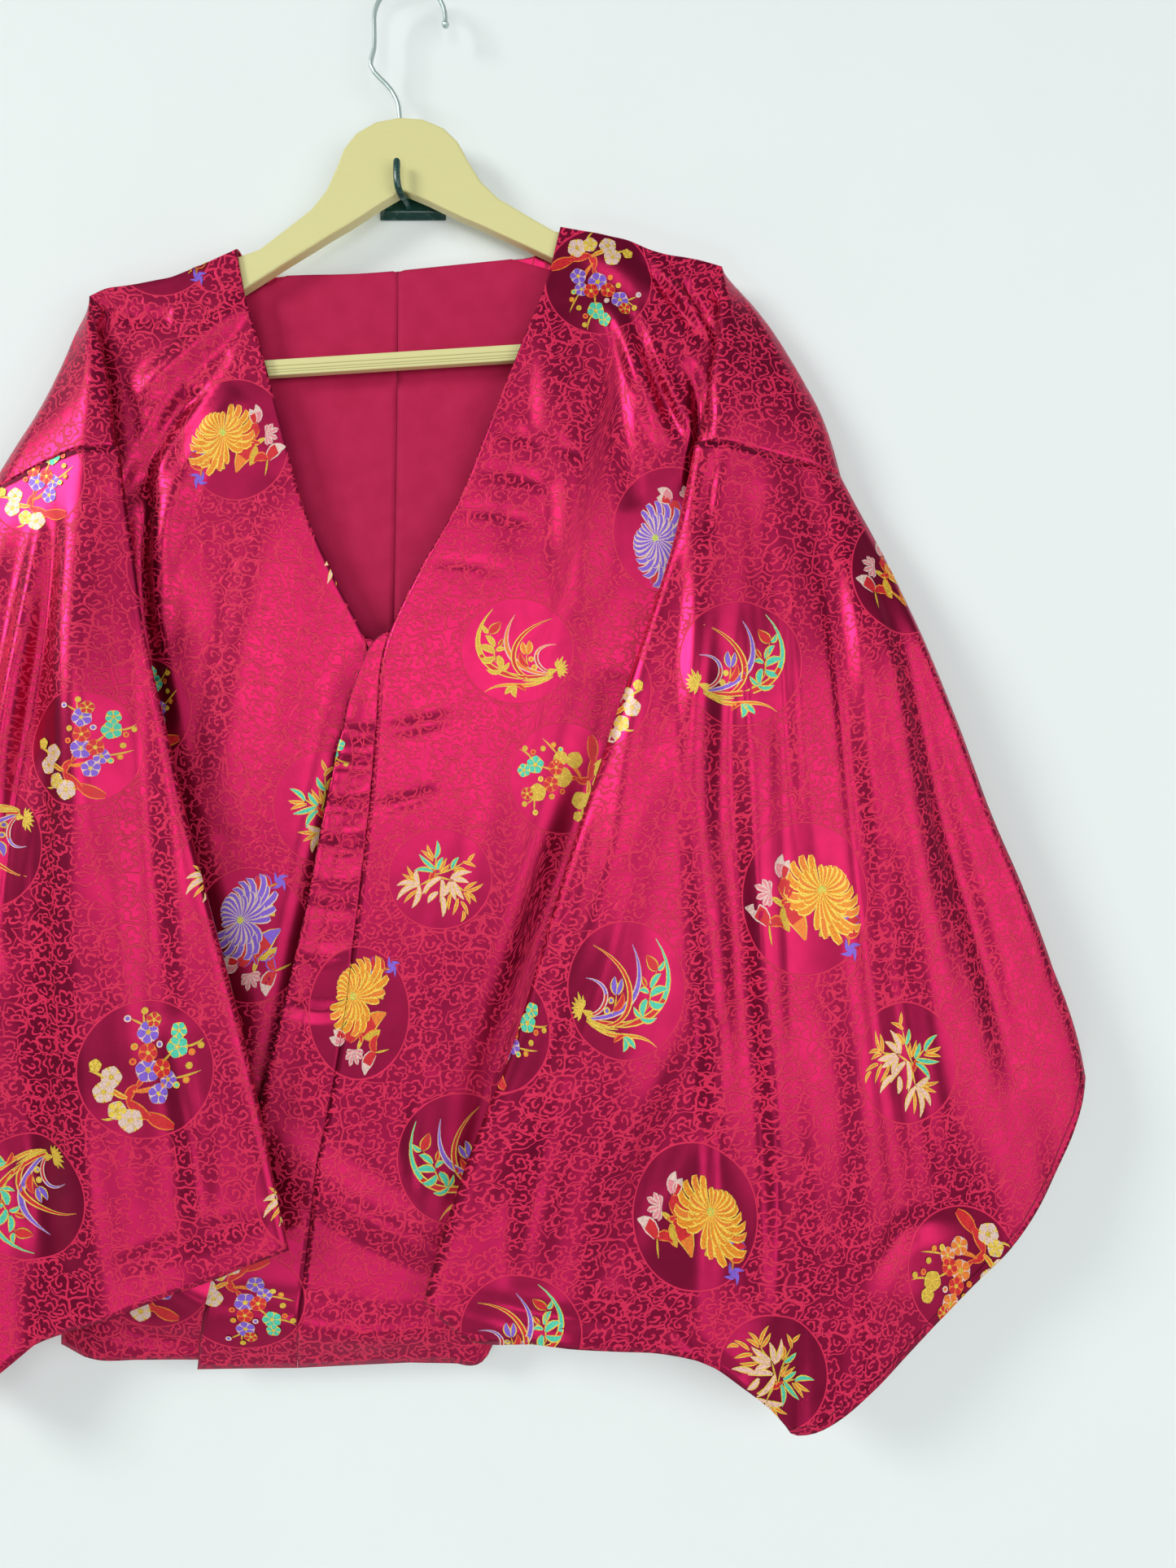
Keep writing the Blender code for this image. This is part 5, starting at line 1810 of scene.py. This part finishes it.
def cloud_group() -> Nodes:
    """Group that draws the lobed, curling cloud lines all over the cloth.

    Returns:
        The group.
    """
    inputs = {"Place": None, "Clouds per metre": 82.0, "Line width": 0.102}
    group, kit, given, result = new_group("cloud lines", inputs, ("Line", "Shade"))
    scaled = kit.vector("SCALE", kit.stretched(given["Place"], (0.88, 1.0, 1.0)), given["Clouds per metre"])
    ripple = kit.add("ShaderNodeTexNoise", {"Vector": scaled, "Scale": 1.3, "Detail": 1.0})
    swing = kit.vector("SCALE", kit.vector("SUBTRACT", ripple.outputs["Color"], (0.5, 0.5, 0.5)), 0.55)
    bent = kit.vector("ADD", scaled, swing)
    net = {"Vector": bent, "Scale": 1.0, "Randomness": 0.75}
    cells = kit.add("ShaderNodeTexVoronoi", net, voronoi_dimensions="2D", feature="F1")
    edges = kit.add("ShaderNodeTexVoronoi", net, voronoi_dimensions="2D", feature="DISTANCE_TO_EDGE")
    spoke = kit.vector("SUBTRACT", bent, cells.outputs["Position"])
    arm = kit.add("ShaderNodeSeparateXYZ", {0: spoke}).outputs
    chance = kit.add("ShaderNodeSeparateColor", {0: cells.outputs["Color"]}).outputs
    turn = kit.math("MULTIPLY_ADD", chance[0], FULL_TURN, kit.math("ARCTAN2", arm[1], arm[0]))
    lobe = kit.math("ABSOLUTE", kit.math("SINE", kit.math("MULTIPLY", turn, 3.0)))
    reach = kit.math("MULTIPLY_ADD", lobe, 0.17, kit.math("MULTIPLY_ADD", chance[1], 0.10, 0.31))
    rim = kit.apart(cells.outputs["Distance"], reach)
    wound = kit.math("FRACT", kit.math("DIVIDE", turn, FULL_TURN))
    coil = kit.apart(cells.outputs["Distance"], kit.math("MULTIPLY_ADD", wound, 0.26, 0.04))
    near = kit.math("MINIMUM", rim, kit.math("ADD", coil, kit.ramp(wound, 0.80, 0.90, 0.0, 0.4)))
    joint = kit.math("ADD", edges.outputs["Distance"], kit.ramp(chance[2], 0.45, 0.46, 0.4, 0.0))
    near = kit.math("MINIMUM", near, joint)
    inner, outer = (kit.math("MULTIPLY", given["Line width"], share) for share in (0.35, 0.68))
    kit.fill(result, {"Line": kit.ramp(near, inner, outer, 1.0, 0.0), "Shade": ripple.outputs["Fac"]})
    return group


def weave_group() -> Nodes:
    """Group for the fine grain of threads: a height and a slight shade.

    Returns:
        The group.
    """
    inputs = {"Place": None, "Threads per metre": 1500.0}
    group, kit, given, result = new_group("thread grain", inputs, ("Height", "Shade"))
    scaled = kit.vector("SCALE", given["Place"], given["Threads per metre"])
    fine = kit.noise(kit.stretched(scaled, (1.0, 0.35, 1.0)), 1.0, 2.0)
    kit.fill(result, {"Height": fine, "Shade": kit.noise(given["Place"], 60.0, 3.0)})
    return group


def blank_material(name: str) -> tuple[Material, NodeKit, Node]:
    """Start a material with its Principled shader.

    Args:
        name: its name.

    Returns:
        The material, its kit and its shader.
    """
    made = bpy.data.materials.new(name)
    made.use_nodes = True
    return made, NodeKit(made.node_tree), made.node_tree.nodes["Principled BSDF"]


@dataclass(frozen=True)
class BrocadeFinish:
    """Crimson satin with matte cloud lines and plain discs, and a painted shadow line along its seams."""

    ground: Colour = (0.42, 0.006, 0.070, 1.0)
    deep: Colour = (0.36, 0.005, 0.060, 1.0)
    line: Colour = (0.66, 0.012, 0.078, 1.0)
    shadow: Colour = (0.20, 0.003, 0.03, 1.0)
    ring_half: float = 0.00055
    ground_metal: float = 0.92
    line_metal: float = 0.15
    ground_rough: float = 0.31
    line_rough: float = 0.60

    def material(self, name: str, clouds: Nodes, weave: Nodes) -> Material:
        """Make the material.

        Args:
            name: its name.
            clouds: group of the cloud lines.
            weave: group of the thread grain.

        Returns:
            The material.
        """
        made, kit, shader = blank_material(name)
        place = kit.add("ShaderNodeUVMap", uv_map="cut").outputs[0]
        lines = kit.add("ShaderNodeGroup", node_tree=clouds)
        grain = kit.add("ShaderNodeGroup", node_tree=weave)
        for node in (lines, grain):
            kit.fill(node, {"Place": place})
        disc = kit.mark("disc")
        outside = kit.ramp(disc, -0.0003, 0.0001, 1.0, 0.0)
        ring = kit.ramp(kit.math("ABSOLUTE", disc), self.ring_half * 0.6, self.ring_half, 1.0, 0.0)
        mask = kit.math("MAXIMUM", kit.math("MULTIPLY", lines.outputs["Line"], outside), ring)
        # Painted shade: a dark shadow line along the front band's seam and inside each cuff.
        seam = kit.ramp(kit.math("ABSOLUTE", kit.mark("stitched")), 0.0003, 0.0007, 1.0, 0.0)
        ground = kit.mix(kit.ramp(grain.outputs["Shade"], 0.3, 0.7), self.deep, self.ground)
        rough = kit.ramp(mask, 0.0, 1.0, self.ground_rough, self.line_rough)
        uneven = kit.math("MULTIPLY", kit.math("SUBTRACT", grain.outputs["Height"], 0.5), 0.12)
        height = kit.math("ADD", mask, kit.math("MULTIPLY", grain.outputs["Height"], 0.35))
        kit.fill(shader, {
            "Base Color": kit.mix(seam, kit.mix(mask, ground, self.line), self.shadow),
            "Metallic": kit.ramp(mask, 0.0, 1.0, self.ground_metal, self.line_metal),
            "Roughness": kit.math("ADD", rough, uneven),
            "Normal": kit.bump(height, 0.55, 0.00030),
            "Specular IOR Level": 0.3,
            "Coat Weight": 0.15,
            "Coat Roughness": 0.40,
            "Sheen Weight": 0.05,
            "Sheen Tint": (1.0, 0.45, 0.6, 1.0),
            "Sheen Roughness": 0.4,
        })
        return made


@dataclass(frozen=True)
class LiningFinish:
    """Plain matte crimson lining."""

    colour: Colour = (0.44, 0.008, 0.064, 1.0)
    pale: Colour = (0.49, 0.012, 0.076, 1.0)

    def material(self, name: str, weave: Nodes) -> Material:
        """Make the material from the group of the thread grain.

        Args:
            name: its name.
            weave: the group.

        Returns:
            The material.
        """
        made, kit, shader = blank_material(name)
        inputs = {"Place": kit.add("ShaderNodeUVMap", uv_map="cut").outputs[0], "Threads per metre": 1900.0}
        grain = kit.add("ShaderNodeGroup", inputs, node_tree=weave).outputs
        kit.fill(shader, {
            "Base Color": kit.mix(kit.ramp(grain["Shade"], 0.25, 0.75), self.colour, self.pale),
            "Roughness": kit.ramp(grain["Height"], 0.2, 0.8, 0.66, 0.82),
            "Normal": kit.bump(grain["Height"], 0.3, 0.00015),
            "Specular IOR Level": 0.2,
            "Sheen Weight": 0.06,
            "Sheen Roughness": 0.5,
        })
        return made


@dataclass(frozen=True)
class ThreadFinish:
    """Silky coloured threads of the motifs."""

    metal: float = 0.25
    rough: float = 0.42

    def material(self, name: str, weave: Nodes) -> Material:
        """Make the material from the group of the thread grain.

        Args:
            name: its name.
            weave: the group.

        Returns:
            The material.
        """
        made, kit, shader = blank_material(name)
        inputs = {"Place": kit.here(), "Threads per metre": 1100.0}
        grain = kit.add("ShaderNodeGroup", inputs, node_tree=weave).outputs
        shade = kit.ramp(grain["Height"], 0.30, 0.62, 0.72, 1.12)
        kit.fill(shader, {
            "Base Color": kit.vector("SCALE", kit.mark("thread", "Color"), shade),
            "Roughness": kit.ramp(grain["Height"], 0.3, 0.7, self.rough - 0.08, self.rough + 0.14),
            "Normal": kit.bump(grain["Height"], 0.5, 0.0002),
            "Metallic": self.metal,
        })
        return made


@dataclass(frozen=True)
class WoodFinish:
    """Pale smooth lacquered wood."""

    pale: Colour = (0.72, 0.69, 0.32, 1.0)
    dark: Colour = (0.71, 0.68, 0.305, 1.0)
    groove_shade: Colour = (0.36, 0.33, 0.12, 1.0)
    rough: float = 0.42

    def material(self, name: str, grooved: bool = False) -> Material:
        """Make the material, with its grain along the hanger.

        Args:
            name: its name.
            grooved: whether it has the bar's fine grooves, painted as dark shade lines that follow the bar's
                slope.

        Returns:
            The material.
        """
        made, kit, shader = blank_material(name)
        grain = kit.noise(kit.stretched(kit.here(), (5.0, 60.0, 60.0)), 3.0, 4.0, 0.6)
        tone = kit.mix(kit.ramp(grain, 0.38, 0.68), self.pale, self.dark)
        if grooved:
            parts = kit.add("ShaderNodeSeparateXYZ", {0: kit.here()}).outputs
            level = kit.math("SUBTRACT", parts[2], kit.math("MULTIPLY", parts[0], BAR_SLOPE))
            # Painted shade: a dark line at the height of each groove on the bar.
            for low in BAR_GROOVES:
                near = kit.apart(level, low * MM)
                tone = kit.mix(kit.ramp(near, 0.0002, 0.0005, 0.75, 0.0), tone, self.groove_shade)
        kit.fill(shader, {
            "Base Color": tone,
            "Roughness": kit.ramp(grain, 0.3, 0.7, self.rough - 0.05, self.rough + 0.08),
            "Normal": kit.bump(grain, 0.03, 0.0002),
            "Coat Weight": 0.15,
        })
        return made


@dataclass(frozen=True)
class MetalFinish:
    """Drawn steel wire, or glossy painted metal."""

    colour: Colour
    worn: Colour
    metal: float
    rough: float

    def material(self, name: str) -> Material:
        """Make the material, slightly uneven in tone and gloss.

        Args:
            name: its name.

        Returns:
            The material.
        """
        made, kit, shader = blank_material(name)
        spots = kit.noise(kit.here(), 240.0, 4.0)
        kit.fill(shader, {
            "Base Color": kit.mix(kit.ramp(spots, 0.45, 0.75), self.colour, self.worn),
            "Roughness": kit.ramp(spots, 0.3, 0.7, self.rough - 0.05, self.rough + 0.1),
            "Normal": kit.bump(spots, 0.02, 0.0001),
            "Metallic": self.metal,
        })
        return made


@dataclass
class Garment:
    """The haori: its cloth pieces and the motifs woven in them."""

    clouds: Nodes
    weave: Nodes
    sheets: dict[str, Sheet] = field(default_factory=dict)

    def build(self) -> None:
        """Make every piece of cloth and every motif."""
        for side in (LEFT, RIGHT):
            body = BodyHalf(side)
            sleeve = Sleeve(side, body.arm_seam())
            name = side.name
            self.add("body_" + name, body.grids())
            self.add("sleeve_" + name, [sleeve.grid()])
            self.add("band_" + name, [front_band(body)], CREASES["body_" + name])
            self.add("lining_" + name, [back_lining(body)], lining=True)
        for name in self.sheets:
            if not name.startswith("lining"):
                self.weave_motifs(name)

    def add(self, name: str, grids: list[ClothGrid], extra: tuple = (), lining: bool = False) -> None:
        """Make one piece of cloth in place of its CAD node.

        Args:
            name: name of the node.
            grids: its fine grids.
            extra: creases that run on from its neighbour.
            lining: whether it is the plain lining.
        """
        discs = MEDALLIONS.get(name, MEDALLIONS["body_" + name[5:]] if name.startswith("band") else ())
        if not name.startswith(("sleeve", "lining")):
            extra += CREASES["overlap"]
        sheet = Sheet("cloth_" + name, name, grids, CREASES.get(name, ()) + extra, CREASES["behind"], discs)
        if lining:
            sheet.hidden, sheet.medallions = (), ()
            sheet.thickness = 0.8
        obj = sheet.build()
        if lining:
            finish = LiningFinish().material("lining cloth", self.weave)
        else:
            finish = BrocadeFinish().material("brocade " + name, self.clouds, self.weave)
        obj.data.materials.append(finish)
        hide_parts(name)
        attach(obj, "root")
        self.sheets[name] = sheet
        LOG.info("%s: %d faces, %.3f m2", sheet.name, len(obj.data.polygons), sheet.area())

    def weave_motifs(self, name: str) -> None:
        """Lay the motifs of one piece of cloth on it.

        Args:
            name: name of the piece's node.
        """
        sheet = self.sheets[name]
        trees = {behind: sheet.tree(behind) for behind in (False, True)}
        art = MotifArt("motifs_" + name)
        for medallion in sheet.medallions:
            art.lay(medallion, trees[medallion.behind], (sheet.thickness / 2 + MOTIF_LIFT) * MM)
        obj = art.finish()
        obj.data.materials.append(ThreadFinish().material("motif threads " + name, self.weave))
        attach(obj, "root")
        LOG.info("%s: %d faces", obj.name, len(obj.data.polygons))


@dataclass
class Hanger:
    """Wooden hanger with its steel hook, and the wall hook that holds it."""

    wood: WoodFinish = WoodFinish()
    steel: MetalFinish = MetalFinish((0.50, 0.61, 0.59, 1), (0.45, 0.55, 0.53, 1), 0.55, 0.34)
    green: MetalFinish = MetalFinish((0.006, 0.050, 0.042, 1), (0.020, 0.085, 0.070, 1), 0.0, 0.20)

    def dress(self, nodes: dict[str, Object]) -> None:
        """Give the hard pieces their finishes.

        Args:
            nodes: the hard pieces by name.
        """
        finishes = {"hanger_wood": self.wood, "hanger_bar": self.wood, "hanger_hook": self.steel,
                    "wall_plate": self.green, "wall_prong": self.green}
        for name, finish in finishes.items():
            marks = (True,) if name == "hanger_bar" else ()
            made = finish.material(name + " finish", *marks)
            for slot in nodes[name].material_slots:
                slot.material = made
            LOG.info("%s dressed", name)


@dataclass
class Studio:
    """Pale wall and floor, soft lights and the camera at the photograph's place."""

    wall: Colour = (0.68, 0.75, 0.74, 1.0)
    floor: Colour = (0.62, 0.63, 0.62, 1.0)
    eye: Place = (0.123, -0.828, -0.408)
    view_height: float = 1.079
    view_distance: float = 0.81
    sensor_height: float = 34.6
    floor_z: float = -1.70

    def build(self) -> None:
        """Make the stage, the lights and the camera."""
        self.add_plane("stage_wall", (0.0, 0.0012, 0.1), (2.6, 2.3), upright=True)
        self.add_plane("stage_floor", (0.0, 0.20, self.floor_z), (2.6, 1.35), upright=False)
        self.add_light("key", (-2.9, -2.3, 1.15), (0.05, 0.0, -0.40), 1.25, 78, (1.0, 0.985, 0.96))
        self.add_light("front", (-0.35, -2.6, -0.15), (0.0, 0.0, -0.45), 1.0, 12.5, (1.0, 1.0, 1.0))
        self.add_light("side", (1.50, -2.2, -0.45), (0.30, 0.0, -0.45), 2.0, 30, (1.0, 1.0, 1.0))
        self.add_light("low", (-0.34, -1.5, -1.42), (0.0, 0.0, -0.7), 0.28, 1.8, (0.97, 1.0, 1.0))
        self.add_world()
        self.add_camera()
        bpy.context.scene.view_settings.view_transform = "Standard"

    def add_plane(self, name: str, centre: Place, size: tuple[float, float], upright: bool) -> None:
        """Make one plain surface of the stage; the wall also glows faintly, as painted light.

        Args:
            name: its name.
            centre: its middle.
            size: half its width and half its depth or height.
            upright: whether it stands.
        """
        work = bmesh.new()
        bmesh.ops.create_grid(work, x_segments=4, y_segments=4, size=1)
        for vert in work.verts:
            across, away = vert.co.x * size[0], vert.co.y * size[1]
            vert.co = Vector(centre) + (Vector((across, 0, away)) if upright else Vector((across, away, 0)))
        if upright:
            bmesh.ops.reverse_faces(work, faces=[f for f in work.faces if f.normal.y > 0])
        obj = made_object(name, work)
        made, kit, shader = blank_material(name + " paint")
        base = self.wall if upright else self.floor
        pale = tuple(min(1.0, value * 1.03) for value in base[:3]) + (1.0,)
        plaster = kit.mix(kit.noise(kit.here(), 9.0, 5.0), base, pale)
        kit.fill(shader, {"Base Color": plaster, "Roughness": 0.8})
        if upright:
            # Painted light: the wall glows faintly, which lifts the shadows cast on it.
            kit.fill(shader, {"Emission Color": (0.95, 0.92, 0.95, 1.0), "Emission Strength": 0.14})
            clear = kit.add("ShaderNodeBsdfTransparent").outputs[0]
            behind = kit.add("ShaderNodeNewGeometry").outputs["Backfacing"]
            both = kit.add("ShaderNodeMixShader", {0: behind, 1: shader.outputs[0], 2: clear}).outputs[0]
            kit.fill(made.node_tree.nodes["Material Output"], {"Surface": both})
        obj.data.materials.append(made)

    @staticmethod
    def add_light(name: str, place: tuple, aim: tuple, size: float, power: float, colour: tuple) -> None:
        """Add one soft square light.

        Args:
            name: its name.
            place: where it stands.
            aim: what it points at.
            size: length of its sides.
            power: watts.
            colour: its colour.
        """
        data = bpy.data.lights.new(name, "AREA")
        data.size = size
        data.energy = power
        data.color = colour
        obj = placed(name, data)
        obj.location = place
        obj.rotation_euler = (Vector(aim) - Vector(place)).to_track_quat("-Z", "Y").to_euler()

    @staticmethod
    def add_world() -> None:
        """Light the scene evenly from all round."""
        world = bpy.data.worlds.new("soft surroundings")
        world.use_nodes = True
        back = world.node_tree.nodes["Background"]
        back.inputs["Color"].default_value = (0.93, 0.97, 0.96, 1.0)
        back.inputs["Strength"].default_value = 0.18
        bpy.context.scene.world = world

    def add_camera(self) -> None:
        """Create the camera and make it the scene's."""
        data = bpy.data.cameras.new("photograph")
        data.sensor_fit = "VERTICAL"
        data.sensor_height = self.sensor_height
        data.lens = self.sensor_height / 2 / (self.view_height / 2 / self.view_distance)
        data.clip_start = 0.02
        camera = placed("photograph", data)
        camera.location = self.eye
        camera.rotation_euler = (math.radians(90), 0, 0)
        bpy.context.scene.camera = camera


@dataclass(frozen=True)
class Cut:
    """Size that a piece of cloth was cut to: width, length and flat area."""

    node: str
    width: float
    length: float
    area: float
    rests_on: tuple[str, ...]


CUTS = (
    Cut("body_left", 0.36, 1.56, 0.335, ("hanger_wood",)),
    Cut("body_right", 0.38, 1.56, 0.392, ("hanger_wood",)),
    Cut("sleeve_left", 0.90, 0.56, 0.315, ("cloth_body_left",)),
    Cut("sleeve_right", 0.90, 0.60, 0.358, ("cloth_body_right",)),
    Cut("band_left", 0.06, 0.52, 0.0138, ("cloth_body_left",)),
    Cut("band_right", 0.08, 0.52, 0.0215, ("cloth_body_right",)),
    Cut("lining_left", 0.18, 0.40, 0.047, ("cloth_body_left",)),
    Cut("lining_right", 0.18, 0.40, 0.052, ("cloth_body_right",)),
)


def declare_cuts(garment: Garment) -> None:
    """Log each piece of cloth's cut area beside the area that was made.

    Args:
        garment: the haori, built.
    """
    for cut in CUTS:
        sheet = garment.sheets[cut.node]
        LOG.info("%s: cut %.3f m2, made %.3f m2", sheet.name, cut.area, sheet.area())


def main() -> None:
    """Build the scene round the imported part."""
    logging.basicConfig(level=logging.INFO, format="%(name)s %(message)s")
    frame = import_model()
    Studio().build()
    garment = Garment(cloud_group(), weave_group())
    garment.build()
    declare_cuts(garment)
    Hanger().dress(frame["nodes"])


if __name__ == "__main__":
    main()
